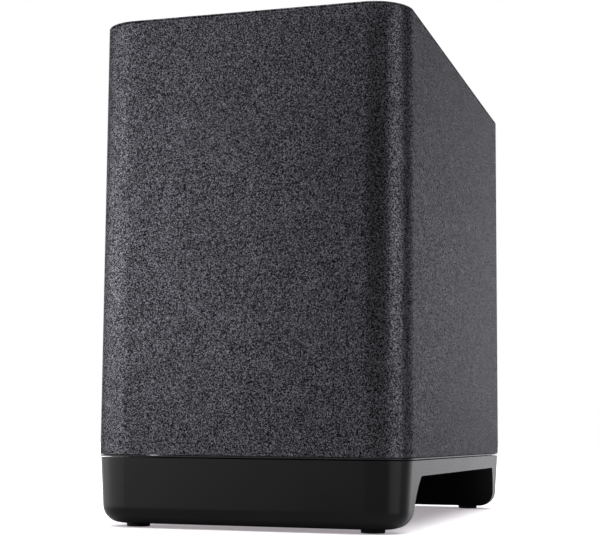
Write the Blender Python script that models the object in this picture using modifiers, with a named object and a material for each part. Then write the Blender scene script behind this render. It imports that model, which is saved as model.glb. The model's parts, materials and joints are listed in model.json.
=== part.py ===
"""Wireless subwoofer that stands beside a soundbar.

A fibreboard cabinet wrapped in fabric stands on a moulded plinth. The woofer looks
down through the plinth, whose two long sides are open so that the sound comes out.
The amplifier and the reflex port are on the back.

Metres, +Z up, front towards -Y. The origin is on the floor under the middle of the
bounding box.
"""
import math

import bmesh
import bpy
from mathutils import Matrix

# Overall sizes
CABINET_WIDTH = 0.205
CABINET_DEPTH = 0.3835
OVERALL_HEIGHT = 0.325
CORNER_RADIUS = 0.0255

# Clearances
CONTACT_GAP = 0.0003
SHADOW_GAP = 0.0006
SCREW_CLEARANCE = 0.0003

# Cabinet
FABRIC_THICKNESS = 0.001
PANEL_THICKNESS = 0.015
TOP_SKIN_THICKNESS = 0.0013
TOP_SKIN_EDGE = 0.0008
TRIM_THICKNESS = 0.0009
TRIM_BAND = 0.012
BRACE_THICKNESS = 0.012
BRACE_FROM_CENTRE = 0.105
BRACE_RAIL = 0.024

# Plinth and feet
PLINTH_TOP = 0.0439
PLINTH_INSET = 0.0005
PLINTH_DRAFT = 0.0026
PLINTH_FILLET = 0.011
PLINTH_WALL = 0.003
OPENING_TOP = 0.0341
LEG_DEPTH = 0.036
FRONT_LEG_TOP_DEPTH = 0.0545
REAR_LEG_TOP_DEPTH = 0.048
LEG_FLOOR = 0.007
RIB_THICKNESS = 0.003
BOSS_WIDTH = 0.012
BOSS_FROM_CENTRE = 0.048
FOOT_RADIUS = 0.00765
FOOT_TAPER = 0.0003
FOOT_CHAMFER = 0.0004
FOOT_HEIGHT = 0.0025
FOOT_RECESS = 0.001
FOOT_FROM_FACE = 0.0253

# Screws
BASE_SCREW_RADIUS = 0.002
BASE_SCREW_HEAD_RADIUS = 0.0038
BASE_SCREW_HEAD = 0.0026
BASE_SCREW_GRIP = 0.012
BASE_SCREW_DECK = 0.006
WELL_RADIUS = 0.0045
WOOFER_SCREW_RADIUS = 0.0018
WOOFER_SCREW_HEAD_RADIUS = 0.0036
WOOFER_SCREW_HEAD = 0.0022
WOOFER_SCREW_GRIP = 0.010
WOOFER_SCREWS = 4
AMP_SCREW_RADIUS = 0.0017
AMP_SCREW_HEAD_RADIUS = 0.0036
AMP_SCREW_LENGTH = 0.014
AMP_SCREW_FROM_EDGE = 0.0085
AMP_SCREW_SINK = 0.0002
SCREW_TIP_SHARE = 0.3

# Woofer
CUTOUT_RADIUS = 0.077
CUTOUT_CLEARANCE = 0.0015
FLANGE_WIDTH = 0.011
FLANGE_THICKNESS = 0.002
FRAME_WALL = 0.0018
THROAT_HEIGHT = 0.010
LEDGE_OUTER_RADIUS = 0.054
LEDGE_INNER_RADIUS = 0.046
LEDGE_ABOVE_CONE = 0.0145
MOTOR_ABOVE_LEDGE = 0.0137
DECK_CLEARANCE = 0.002
WINDOW_WIDTH = 0.028
WINDOW_COUNT = 8
WOOFER_GASKET_THICKNESS = 0.0008
CONE_DEPTH = 0.0235
CONE_THICKNESS = 0.0008
CONE_CURVE = 1.18
DUST_CAP_RADIUS = 0.027
DUST_CAP_DOME = 0.009
DUST_CAP_GLUE = 0.0008
COIL_RADIUS = 0.019
FORMER_WALL = 0.0003
WINDING_WALL = 0.0008
WINDING_LENGTH = 0.015
SURROUND_THICKNESS = 0.0008
SURROUND_ROLL = 0.006
SURROUND_LIP = 0.003
SURROUND_SEAT = 0.0022
SURROUND_RIM_CLEARANCE = 0.0004
SPIDER_THICKNESS = 0.0007
SPIDER_WAVES = 3
SPIDER_WAVE_HEIGHT = 0.0018

# Motor, stacked on the frame
FRONT_PLATE_THICKNESS = 0.006
FRONT_PLATE_RADIUS = 0.047
MAGNET_THICKNESS = 0.018
MAGNET_RADIUS = 0.050
MAGNET_CLEARANCE = 0.0049
YOKE_THICKNESS = 0.006
YOKE_RADIUS = 0.048
POLE_VENT_RADIUS = 0.005
COIL_CLEARANCE = 0.0005
POLE_CLEARANCE = 0.0006
TERMINAL_WIDTH = 0.022
TERMINAL_THICKNESS = 0.002
TERMINAL_HEIGHT = 0.009
TINSEL_RADIUS = 0.0006
TINSEL_SPACING = 0.012
TINSEL_FROM_DUST_CAP = 0.008
LEAD_RADIUS = 0.0018
LEAD_FROM_BOARD_EDGE = 0.0102

# Reflex port
PORT_ABOVE_AMP = 0.006
PORT_RADIUS = 0.025
PORT_WALL = 0.002
PORT_LENGTH = 0.150
PORT_END_FLARE = 0.004
PORT_FLANGE = 0.012
PORT_FLANGE_THICKNESS = 0.0022
PORT_LIP = 0.0045
PORT_SPIGOT = 0.007

# Amplifier panel
AMP_WIDTH = 0.140
AMP_HEIGHT = 0.170
AMP_SCREW_ABOVE_BAFFLE = 0.0011
AMP_THICKNESS = 0.0025
AMP_CORNER = 0.006
AMP_EDGE = 0.0008
AMP_OVERLAP = 0.004
AMP_GASKET_THICKNESS = 0.001
AMP_GASKET_BAND = 0.0075
POST_RADIUS = 0.0035
POST_LENGTH = 0.012
POST_FROM_EDGE = 0.006
BOARD_WIDTH = 0.100
BOARD_HEIGHT = 0.110
BOARD_THICKNESS = 0.0016
BOARD_ABOVE_INLET = 0.017

# Power inlet
INLET_ABOVE_EDGE = 0.025
INLET_WIDTH = 0.0216
INLET_HEIGHT = 0.0146
INLET_DEPTH = 0.020
INLET_SET_BACK = 0.0005
INLET_FLANGE = 0.0027
INLET_FLANGE_THICKNESS = 0.0015
SOCKET_WIDTH = 0.0146
SOCKET_HEIGHT = 0.0076
SOCKET_DEPTH = 0.0105
PIN_RADIUS = 0.0012
PIN_SPACING = 0.0086
PIN_SET_BACK = 0.002
PIN_TAIL = 0.004

# Connect button and status light
BUTTON_FROM_CENTRE = 0.030
BUTTON_ABOVE_INLET = 0.030
BUTTON_RADIUS = 0.004
BUTTON_CLEARANCE = 0.0003
BUTTON_FLANGE = 0.0014
BUTTON_FLANGE_THICKNESS = 0.001
BUTTON_SET_BACK = 0.0003
BUTTON_TRAVEL = 0.0008
BUTTON_STEM_RADIUS = 0.0018
BUTTON_EDGE = 0.0005
SWITCH_SIZE = 0.0062
SWITCH_HEIGHT = 0.0035
LIGHT_ABOVE_BUTTON = 0.014
LIGHT_RADIUS = 0.0015
LIGHT_DOME = 0.0004
LIGHT_COLLAR = 0.0008

# Parts on the amplifier board
SINK_WIDTH = 0.060
SINK_HEIGHT = 0.036
SINK_BASE = 0.003
SINK_DEPTH = 0.024
SINK_FINS = 7
FIN_THICKNESS = 0.0018
CAPACITOR_RADIUS = 0.011
CAPACITOR_LENGTH = 0.030
CAPACITOR_EDGE = 0.001
CAPACITOR_GROOVE = 0.0006
CAPACITOR_GROOVE_FROM_BOARD = 0.003
TRANSFORMER_WIDTH = 0.032
TRANSFORMER_HEIGHT = 0.028
TRANSFORMER_DEPTH = 0.024
BOBBIN_RADIUS = 0.012
BOBBIN_BULGE = 0.003
BOBBIN_OFF_BOARD = 0.0005
MODULE_WIDTH = 0.030
MODULE_HEIGHT = 0.020
MODULE_THICKNESS = 0.0012
SHIELD_HEIGHT = 0.0024
SHIELD_RIM = 0.002
BOARD_MARGIN = 0.006

# How finely round shapes are divided
CORNER_STEPS = 7
WIDE_STEPS = 36
MEDIUM_STEPS = 24
SMALL_STEPS = 12
FINE_STEPS = 8
LEG_ARC_STEPS = 6
FILLET_STEPS = 5

# Heights that several pieces share
PLINTH_BOTTOM = FOOT_HEIGHT
TRIM_BOTTOM = PLINTH_TOP + SHADOW_GAP
FABRIC_BOTTOM = TRIM_BOTTOM + TRIM_THICKNESS + CONTACT_GAP
FABRIC_TOP = OVERALL_HEIGHT - TOP_SKIN_THICKNESS - CONTACT_GAP
BAFFLE_BOTTOM = FABRIC_BOTTOM
BAFFLE_TOP = BAFFLE_BOTTOM + PANEL_THICKNESS
TOP_PANEL_BOTTOM = FABRIC_TOP - PANEL_THICKNESS
WALL_BOTTOM = BAFFLE_TOP + CONTACT_GAP
WALL_TOP = TOP_PANEL_BOTTOM - CONTACT_GAP

# The wooden box inside the fabric
BOX_WIDTH = CABINET_WIDTH - 2 * (FABRIC_THICKNESS + CONTACT_GAP)
BOX_DEPTH = CABINET_DEPTH - 2 * (FABRIC_THICKNESS + CONTACT_GAP)
BOX_CORNER = CORNER_RADIUS - FABRIC_THICKNESS - CONTACT_GAP
INNER_WIDTH = BOX_WIDTH - 2 * PANEL_THICKNESS
BOX_REAR = BOX_DEPTH / 2
FABRIC_REAR = CABINET_DEPTH / 2
PANEL_REAR = FABRIC_REAR + CONTACT_GAP + AMP_THICKNESS
PANEL_INNER = FABRIC_REAR + CONTACT_GAP
CABINET_CENTRE_Y = -(PANEL_REAR - FABRIC_REAR) / 2

# The woofer's radii follow from its cut-out
THROAT_RADIUS = CUTOUT_RADIUS - CUTOUT_CLEARANCE
FRAME_RADIUS = CUTOUT_RADIUS + FLANGE_WIDTH
SCREW_CIRCLE_RADIUS = CUTOUT_RADIUS + FLANGE_WIDTH / 2
SURROUND_RIM_RADIUS = SCREW_CIRCLE_RADIUS - WOOFER_SCREW_HEAD_RADIUS - SURROUND_RIM_CLEARANCE
CONE_RADIUS = THROAT_RADIUS - FRAME_WALL - SURROUND_SEAT - 2 * SURROUND_ROLL
DECK_HOLE_RADIUS = FRAME_RADIUS + DECK_CLEARANCE
WINDING_RADIUS = COIL_RADIUS + FORMER_WALL + WINDING_WALL
NECK_RADIUS = COIL_RADIUS + FORMER_WALL + CONTACT_GAP
POLE_RADIUS = COIL_RADIUS - POLE_CLEARANCE
MAGNET_BORE = WINDING_RADIUS + MAGNET_CLEARANCE

# The woofer hangs under the baffle with its gasket between
FLANGE_TOP = BAFFLE_BOTTOM - WOOFER_GASKET_THICKNESS - 2 * CONTACT_GAP
FLANGE_BOTTOM = FLANGE_TOP - FLANGE_THICKNESS
LEDGE_BOTTOM = FLANGE_BOTTOM + CONE_DEPTH + LEDGE_ABOVE_CONE
FRAME_TOP = LEDGE_BOTTOM + MOTOR_ABOVE_LEDGE
FRONT_PLATE_BOTTOM = FRAME_TOP + CONTACT_GAP
MAGNET_BOTTOM = FRONT_PLATE_BOTTOM + FRONT_PLATE_THICKNESS + CONTACT_GAP
YOKE_BOTTOM = MAGNET_BOTTOM + MAGNET_THICKNESS + CONTACT_GAP
WINDING_TOP = FRONT_PLATE_BOTTOM + (FRONT_PLATE_THICKNESS + WINDING_LENGTH) / 2

# Places on the back
AMP_BOTTOM = BAFFLE_TOP + AMP_SCREW_ABOVE_BAFFLE + AMP_SCREW_RADIUS - AMP_SCREW_FROM_EDGE
AMP_CENTRE_HEIGHT = AMP_BOTTOM + AMP_HEIGHT / 2
PORT_SPIGOT_RADIUS = PORT_RADIUS + PORT_SPIGOT
PORT_FLANGE_RADIUS = PORT_RADIUS + PORT_FLANGE
PORT_HEIGHT = AMP_BOTTOM + AMP_HEIGHT + PORT_ABOVE_AMP + PORT_FLANGE_RADIUS
BUTTON_X = BUTTON_FROM_CENTRE
INLET_Z = AMP_BOTTOM + INLET_ABOVE_EDGE
BUTTON_Z = INLET_Z + BUTTON_ABOVE_INLET
LIGHT_Z = BUTTON_Z + LIGHT_ABOVE_BUTTON
AMP_HOLE_WIDTH = AMP_WIDTH - 2 * AMP_OVERLAP
AMP_HOLE_HEIGHT = AMP_HEIGHT - 2 * AMP_OVERLAP
GASKET_WIDTH = AMP_HOLE_WIDTH - 2 * CONTACT_GAP
GASKET_HEIGHT = AMP_HOLE_HEIGHT - 2 * CONTACT_GAP
BOARD_REAR = PANEL_INNER - POST_LENGTH
BOARD_FRONT = BOARD_REAR - BOARD_THICKNESS
BOARD_CENTRE_HEIGHT = INLET_Z + BOARD_ABOVE_INLET + BOARD_HEIGHT / 2

# Turns a piece drawn lying flat so that its thickness runs along Y
UPRIGHT = Matrix.Rotation(math.radians(90), 4, "X")


def clear_scene():
    for item in list(bpy.data.objects):
        bpy.data.objects.remove(item, do_unlink=True)


def new_collection(name):
    collection = bpy.data.collections.new(name)
    bpy.context.scene.collection.children.link(collection)
    return collection


def new_material(name, colour, roughness, metallic=0.0):
    material = bpy.data.materials.new(name)
    material.use_nodes = True
    shader = material.node_tree.nodes["Principled BSDF"]
    shader.inputs["Base Color"].default_value = (*colour, 1.0)
    shader.inputs["Roughness"].default_value = roughness
    shader.inputs["Metallic"].default_value = metallic
    material.diffuse_color = (*colour, 1.0)
    return material


clear_scene()
PARTS = new_collection("subwoofer")
CUTTERS = new_collection("cutters")
FABRIC = new_material("charcoal_fabric", (0.05, 0.05, 0.055), 0.9)
FIBREBOARD = new_material("fibreboard", (0.36, 0.25, 0.15), 0.8)
PLINTH_PLASTIC = new_material("satin_black_plastic", (0.018, 0.018, 0.02), 0.38)
PANEL_PLASTIC = new_material("textured_black_plastic", (0.02, 0.02, 0.022), 0.55)
RUBBER = new_material("black_rubber", (0.015, 0.015, 0.015), 0.8)
FOAM = new_material("grey_foam", (0.12, 0.12, 0.13), 0.95)
FRAME_PAINT = new_material("painted_frame", (0.02, 0.02, 0.02), 0.45, 0.6)
CONE_PULP = new_material("cone_pulp", (0.03, 0.03, 0.03), 0.7)
SPIDER_CLOTH = new_material("spider_cloth", (0.62, 0.42, 0.12), 0.9)
COPPER = new_material("copper_winding", (0.60, 0.25, 0.10), 0.35, 1.0)
ZINC = new_material("zinc_steel", (0.60, 0.60, 0.58), 0.35, 1.0)
BLACK_STEEL = new_material("blackened_steel", (0.05, 0.05, 0.05), 0.4, 1.0)
FERRITE = new_material("ferrite", (0.07, 0.07, 0.075), 0.6)
CIRCUIT_BOARD = new_material("circuit_board", (0.02, 0.14, 0.06), 0.5)
ALUMINIUM = new_material("aluminium", (0.75, 0.76, 0.77), 0.4, 1.0)
TIN = new_material("tinned_can", (0.65, 0.66, 0.66), 0.3, 1.0)
LAMINATE = new_material("brown_laminate", (0.25, 0.12, 0.05), 0.6)
BRAID = new_material("tinsel_braid", (0.55, 0.50, 0.45), 0.5, 0.8)
LENS = new_material("clear_lens", (0.70, 0.75, 0.80), 0.1)
WIRE_SLEEVE = new_material("wire_sleeve", (0.35, 0.02, 0.02), 0.5)


def new_empty(name, location, parent=None):
    empty = bpy.data.objects.new(name, None)
    empty.location = location
    empty.parent = parent
    PARTS.objects.link(empty)
    return empty


CABINET = new_empty("cabinet_centre", (0, CABINET_CENTRE_Y, 0))


def arc(centre, radius, start, end, steps):
    """Points along an arc, angles in degrees, both ends included."""
    points = []
    for index in range(steps + 1):
        angle = math.radians(start + (end - start) * index / steps)
        x = centre[0] + radius * math.cos(angle)
        y = centre[1] + radius * math.sin(angle)
        points.append((x, y))
    return points


def rounded_outline(width, depth, radius, steps=CORNER_STEPS, centre=(0, 0)):
    """A rectangle with round corners, anticlockwise."""
    across = width / 2 - radius
    along = depth / 2 - radius
    corners = ((across, along, 0), (-across, along, 90), (-across, -along, 180), (across, -along, 270))
    points = []
    for x, y, start in corners:
        corner = (centre[0] + x, centre[1] + y)
        points += arc(corner, radius, start, start + 90, steps)
    return points


def rectangle_outline(width, depth, centre=(0, 0)):
    x, y = centre
    return [
        (x + width / 2, y + depth / 2),
        (x - width / 2, y + depth / 2),
        (x - width / 2, y - depth / 2),
        (x + width / 2, y - depth / 2),
    ]


def circle_outline(radius, steps, centre=(0, 0)):
    return arc(centre, radius, 0, 360, steps)[:-1]


def offsets(half_x, half_y):
    """The four corners of a rectangle about the origin."""
    return [(x, y) for y in (-half_y, half_y) for x in (-half_x, half_x)]


def link(piece, collection, parent):
    collection.objects.link(piece)
    piece.parent = parent


def mesh_piece(name, mesh, material, collection=None, parent=None):
    piece = bpy.data.objects.new(name, mesh)
    if material:
        mesh.materials.append(material)
    link(piece, collection or PARTS, parent or CABINET)
    if collection is CUTTERS:
        piece.hide_render = True
        piece.display_type = "WIRE"
    return piece


def curve_to_mesh(curve_object, name):
    """The filled curve as a mesh whose caps are welded on and whose faces point out."""
    bpy.context.view_layer.update()
    depsgraph = bpy.context.evaluated_depsgraph_get()
    mesh = bpy.data.meshes.new_from_object(curve_object.evaluated_get(depsgraph))
    mesh.name = name
    curve = curve_object.data
    bpy.data.objects.remove(curve_object, do_unlink=True)
    bpy.data.curves.remove(curve)
    shape = bmesh.new()
    shape.from_mesh(mesh)
    bmesh.ops.remove_doubles(shape, verts=shape.verts, dist=1e-6)
    bmesh.ops.dissolve_limit(shape, angle_limit=math.radians(0.5), verts=[], edges=shape.edges)
    bmesh.ops.recalc_face_normals(shape, faces=shape.faces)
    shape.to_mesh(mesh)
    shape.free()
    return mesh


def flat_mesh(name, outlines, thickness):
    """A plate in the XY plane, half its thickness above and half below; inner outlines are holes."""
    curve = bpy.data.curves.new(name, "CURVE")
    curve.dimensions = "2D"
    curve.fill_mode = "BOTH"
    curve.extrude = thickness / 2
    for outline in outlines:
        spline = curve.splines.new("POLY")
        spline.points.add(len(outline) - 1)
        for point, (x, y) in zip(spline.points, outline):
            point.co = (x, y, 0, 1)
        spline.use_cyclic_u = True
    holder = bpy.data.objects.new(name, curve)
    bpy.context.scene.collection.objects.link(holder)
    return curve_to_mesh(holder, name)


def plate(name, outlines, bottom, top, material, **where):
    """A level plate between two heights."""
    piece = mesh_piece(name, flat_mesh(name, outlines, top - bottom), material, **where)
    piece.location.z = (bottom + top) / 2
    return piece


def upright_plate(name, outlines, front, rear, height, material, **where):
    """A plate that stands across Y; its outlines are drawn in X and in height above `height`."""
    mesh = flat_mesh(name, outlines, rear - front)
    piece = mesh_piece(name, mesh, material, **where)
    piece.rotation_euler = UPRIGHT.to_euler()
    piece.location = (0, (front + rear) / 2, height)
    return piece


def box(name, low, high, material, **where):
    """A box between two corners."""
    mesh = bpy.data.meshes.new(name)
    size = [b - a for a, b in zip(low, high)]
    shape = bmesh.new()
    bmesh.ops.create_cube(shape, size=1.0, matrix=Matrix.Diagonal((*size, 1.0)))
    shape.to_mesh(mesh)
    shape.free()
    piece = mesh_piece(name, mesh, material, **where)
    piece.location = [(a + b) / 2 for a, b in zip(low, high)]
    return piece


def turned(name, profile, steps, material, closed=True, **where):
    """A profile in radius and height turned about Z. It runs down its outer side."""
    mesh = bpy.data.meshes.new(name)
    count = len(profile)
    edges = [(index, index + 1) for index in range(count - 1)]
    if closed:
        edges.append((count - 1, 0))
    mesh.from_pydata([(radius, 0, height) for radius, height in profile], edges, [])
    piece = mesh_piece(name, mesh, material, **where)
    screw = piece.modifiers.new("turn", "SCREW")
    screw.axis = "Z"
    screw.angle = math.radians(360)
    screw.steps = steps
    screw.render_steps = steps
    screw.use_merge_vertices = True
    screw.merge_threshold = 0.00001
    screw.use_smooth_shade = True
    return piece


def rod(name, radius, bottom, top, steps, material, **where):
    """A solid cylinder about Z."""
    profile = [(0, top), (radius, top), (radius, bottom), (0, bottom)]
    return turned(name, profile, steps, material, closed=False, **where)


def wire(name, points, radius, material, **where):
    """A round wire through a list of points."""
    curve = bpy.data.curves.new(name, "CURVE")
    curve.dimensions = "3D"
    curve.bevel_depth = radius
    curve.bevel_resolution = 1
    curve.use_fill_caps = True
    spline = curve.splines.new("POLY")
    spline.points.add(len(points) - 1)
    for point, place in zip(spline.points, points):
        point.co = (*place, 1)
    holder = bpy.data.objects.new(name, curve)
    bpy.context.scene.collection.objects.link(holder)
    return mesh_piece(name, curve_to_mesh(holder, name), material, **where)


def smooth_route(stations, steps):
    """A Catmull-Rom curve through the stations, the first and last included."""
    ends = [stations[0]] + list(stations) + [stations[-1]]
    points = []
    for index in range(len(stations) - 1):
        before, start, end, after = ends[index:index + 4]
        for step in range(steps):
            t = step / steps
            point = []
            for a, b, c, d in zip(before, start, end, after):
                value = 2 * b + (c - a) * t + (2 * a - 5 * b + 4 * c - d) * t ** 2
                point.append((value + (3 * b - a - 3 * c + d) * t ** 3) / 2)
            points.append(point)
    return points + [list(stations[-1])]


def boolean(target, tool, operation="DIFFERENCE"):
    modifier = target.modifiers.new(tool.name, "BOOLEAN")
    modifier.operation = operation
    modifier.solver = "EXACT"
    modifier.object = tool


def round_edges(piece, width, segments, test):
    """Bevels the sharp edges whose two ends pass the test."""
    shape = bmesh.new()
    shape.from_mesh(piece.data)
    weight = shape.edges.layers.float.new("bevel_weight_edge")
    for edge in shape.edges:
        sharp = edge.calc_face_angle(0) > math.radians(45)
        if sharp and all(test(vertex.co) for vertex in edge.verts):
            edge[weight] = 1.0
    shape.to_mesh(piece.data)
    shape.free()
    bevel = piece.modifiers.new("round", "BEVEL")
    bevel.limit_method = "WEIGHT"
    bevel.width = width
    bevel.segments = segments


def shade_smooth(piece):
    piece.data.shade_smooth()
    piece.data.set_sharp_from_angle(angle=math.radians(35))


# Cabinet

def make_fabric_sleeve():
    outer = rounded_outline(CABINET_WIDTH, CABINET_DEPTH, CORNER_RADIUS)
    inner_width = CABINET_WIDTH - 2 * FABRIC_THICKNESS
    inner_depth = CABINET_DEPTH - 2 * FABRIC_THICKNESS
    inner = rounded_outline(inner_width, inner_depth, CORNER_RADIUS - FABRIC_THICKNESS)
    sleeve = plate("fabric_sleeve", [outer, inner], FABRIC_BOTTOM, FABRIC_TOP, FABRIC)
    shade_smooth(sleeve)
    amp_hole = rounded_outline(AMP_HOLE_WIDTH, AMP_HOLE_HEIGHT, AMP_CORNER, 3)
    reach = 2 * FABRIC_THICKNESS
    amp_cutter = upright_plate("fabric_amp_cutter", [amp_hole], BOX_REAR - reach, FABRIC_REAR + reach,
                               AMP_CENTRE_HEIGHT, None, collection=CUTTERS)
    port_hole = circle_outline(PORT_SPIGOT_RADIUS + CONTACT_GAP, WIDE_STEPS)
    port_cutter = upright_plate("fabric_port_cutter", [port_hole], BOX_REAR - reach, FABRIC_REAR + reach,
                                PORT_HEIGHT, None, collection=CUTTERS)
    boolean(sleeve, amp_cutter)
    boolean(sleeve, port_cutter)


def make_top_skin():
    outline = rounded_outline(CABINET_WIDTH, CABINET_DEPTH, CORNER_RADIUS)
    skin = plate("top_skin", [outline], FABRIC_TOP + CONTACT_GAP, OVERALL_HEIGHT, FABRIC)
    round_edges(skin, TOP_SKIN_EDGE, 2, lambda point: point.z > 0)
    shade_smooth(skin)


def make_trim_frame():
    outer = rounded_outline(CABINET_WIDTH, CABINET_DEPTH, CORNER_RADIUS)
    inner_width = CABINET_WIDTH - 2 * TRIM_BAND
    inner_depth = CABINET_DEPTH - 2 * TRIM_BAND
    inner = rounded_outline(inner_width, inner_depth, CORNER_RADIUS - TRIM_BAND)
    plate("trim_frame", [outer, inner], TRIM_BOTTOM, TRIM_BOTTOM + TRIM_THICKNESS, PLINTH_PLASTIC)


def make_walls():
    """Four flat walls between four quarter-round posts."""
    flat_width = BOX_WIDTH - 2 * BOX_CORNER - 2 * CONTACT_GAP
    flat_depth = BOX_DEPTH - 2 * BOX_CORNER - 2 * CONTACT_GAP
    height = WALL_TOP - WALL_BOTTOM
    middle = (WALL_TOP + WALL_BOTTOM) / 2
    outline = [rectangle_outline(flat_width, height)]
    upright_plate("front_panel", outline, -BOX_REAR, PANEL_THICKNESS - BOX_REAR, middle, FIBREBOARD)
    for name, side in (("left_panel", -1), ("right_panel", 1)):
        inside = side * (BOX_WIDTH / 2 - PANEL_THICKNESS)
        outside = side * BOX_WIDTH / 2
        low = (min(inside, outside), -flat_depth / 2, WALL_BOTTOM)
        high = (max(inside, outside), flat_depth / 2, WALL_TOP)
        box(name, low, high, FIBREBOARD)
    across = BOX_WIDTH / 2 - BOX_CORNER
    along = BOX_DEPTH / 2 - BOX_CORNER
    posts = (
        ("corner_post_front_left", -across, -along, 180),
        ("corner_post_front_right", across, -along, 270),
        ("corner_post_rear_right", across, along, 0),
        ("corner_post_rear_left", -across, along, 90),
    )
    for name, x, y, start in posts:
        outline = [(x, y)] + arc((x, y), BOX_CORNER, start, start + 90, CORNER_STEPS)
        plate(name, [outline], WALL_BOTTOM, WALL_TOP, FIBREBOARD)


def make_rear_panel():
    width = BOX_WIDTH - 2 * BOX_CORNER - 2 * CONTACT_GAP
    middle = (WALL_TOP + WALL_BOTTOM) / 2
    amp_z = AMP_CENTRE_HEIGHT - middle
    hole_width = GASKET_WIDTH - 2 * AMP_GASKET_BAND
    hole_height = GASKET_HEIGHT - 2 * AMP_GASKET_BAND
    outlines = [
        rectangle_outline(width, WALL_TOP - WALL_BOTTOM),
        rectangle_outline(hole_width, hole_height, (0, amp_z)),
        circle_outline(PORT_RADIUS + PORT_WALL + CONTACT_GAP, MEDIUM_STEPS, (0, PORT_HEIGHT - middle)),
    ]
    for x, z in amp_screw_places():
        hole = circle_outline(AMP_SCREW_RADIUS + SCREW_CLEARANCE, FINE_STEPS, (x, z + amp_z))
        outlines.append(hole)
    upright_plate("rear_panel", outlines, BOX_REAR - PANEL_THICKNESS, BOX_REAR, middle, FIBREBOARD)


def make_top_panel():
    outline = rounded_outline(BOX_WIDTH, BOX_DEPTH, BOX_CORNER)
    plate("top_panel", [outline], TOP_PANEL_BOTTOM, FABRIC_TOP, FIBREBOARD)


def make_bottom_baffle():
    outlines = [
        rounded_outline(BOX_WIDTH, BOX_DEPTH, BOX_CORNER),
        circle_outline(CUTOUT_RADIUS, WIDE_STEPS),
    ]
    for place in base_screw_places():
        outlines.append(circle_outline(BASE_SCREW_RADIUS + SCREW_CLEARANCE, FINE_STEPS, place))
    for place in woofer_screw_places():
        outlines.append(circle_outline(WOOFER_SCREW_RADIUS + SCREW_CLEARANCE, FINE_STEPS, place))
    plate("bottom_baffle", outlines, BAFFLE_BOTTOM, BAFFLE_TOP, FIBREBOARD)


def make_window_brace():
    """A frame across the box with two windows, one above the other."""
    width = INNER_WIDTH - 2 * CONTACT_GAP
    height = WALL_TOP - WALL_BOTTOM
    window_height = (height - 3 * BRACE_RAIL) / 2
    window_width = width - 2 * BRACE_RAIL
    offset = (window_height + BRACE_RAIL) / 2
    outlines = [
        rectangle_outline(width, height),
        rounded_outline(window_width, window_height, BRACE_RAIL / 2, 4, (0, offset)),
        rounded_outline(window_width, window_height, BRACE_RAIL / 2, 4, (0, -offset)),
    ]
    front = -BRACE_FROM_CENTRE - BRACE_THICKNESS / 2
    rear = -BRACE_FROM_CENTRE + BRACE_THICKNESS / 2
    middle = (WALL_TOP + WALL_BOTTOM) / 2
    upright_plate("window_brace", outlines, front, rear, middle, FIBREBOARD)


# Plinth

def leg_arc(top_depth, end, direction):
    """The inner face of a leg, from its vertical foot up to the roof of the opening.

    `end` is the end face of the plinth, `direction` points from it into the opening.
    """
    spread = top_depth - LEG_DEPTH
    rise = OPENING_TOP - PLINTH_BOTTOM
    radius = (spread ** 2 + rise ** 2) / (2 * spread)
    sweep = math.degrees(math.asin(rise / radius))
    points = []
    for x, z in arc((LEG_DEPTH + radius, PLINTH_BOTTOM), radius, 180, 180 - sweep, LEG_ARC_STEPS):
        points.append((end + direction * x, z))
    return points


def opening_outline():
    """The tunnel under the cabinet, in depth and height, open at the bottom."""
    front = -CABINET_DEPTH / 2
    rear = CABINET_DEPTH / 2
    below = PLINTH_BOTTOM - PLINTH_FILLET
    outline = leg_arc(FRONT_LEG_TOP_DEPTH, front, 1)
    outline += reversed(leg_arc(REAR_LEG_TOP_DEPTH, rear, -1))
    outline += [(rear - LEG_DEPTH, below), (front + LEG_DEPTH, below)]
    return outline


def pocket_spans():
    """Where the pockets of a leg start and end across the width, around its bosses and ribs."""
    inner = BOSS_FROM_CENTRE - BOSS_WIDTH / 2
    outer = BOSS_FROM_CENTRE + BOSS_WIDTH / 2
    end = CABINET_WIDTH / 2 - CORNER_RADIUS
    width = (2 * inner - 2 * RIB_THICKNESS) / 3
    spans = [(-end, -outer), (outer, end)]
    for index in range(3):
        low = -inner + index * (width + RIB_THICKNESS)
        spans.append((low, low + width))
    return spans


def base_screw_places():
    along = CABINET_DEPTH / 2 - LEG_DEPTH / 2 - PLINTH_DRAFT / 2
    return offsets(BOSS_FROM_CENTRE, along)


def foot_places():
    return offsets(CABINET_WIDTH / 2 - FOOT_FROM_FACE, CABINET_DEPTH / 2 - FOOT_FROM_FACE)


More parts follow.
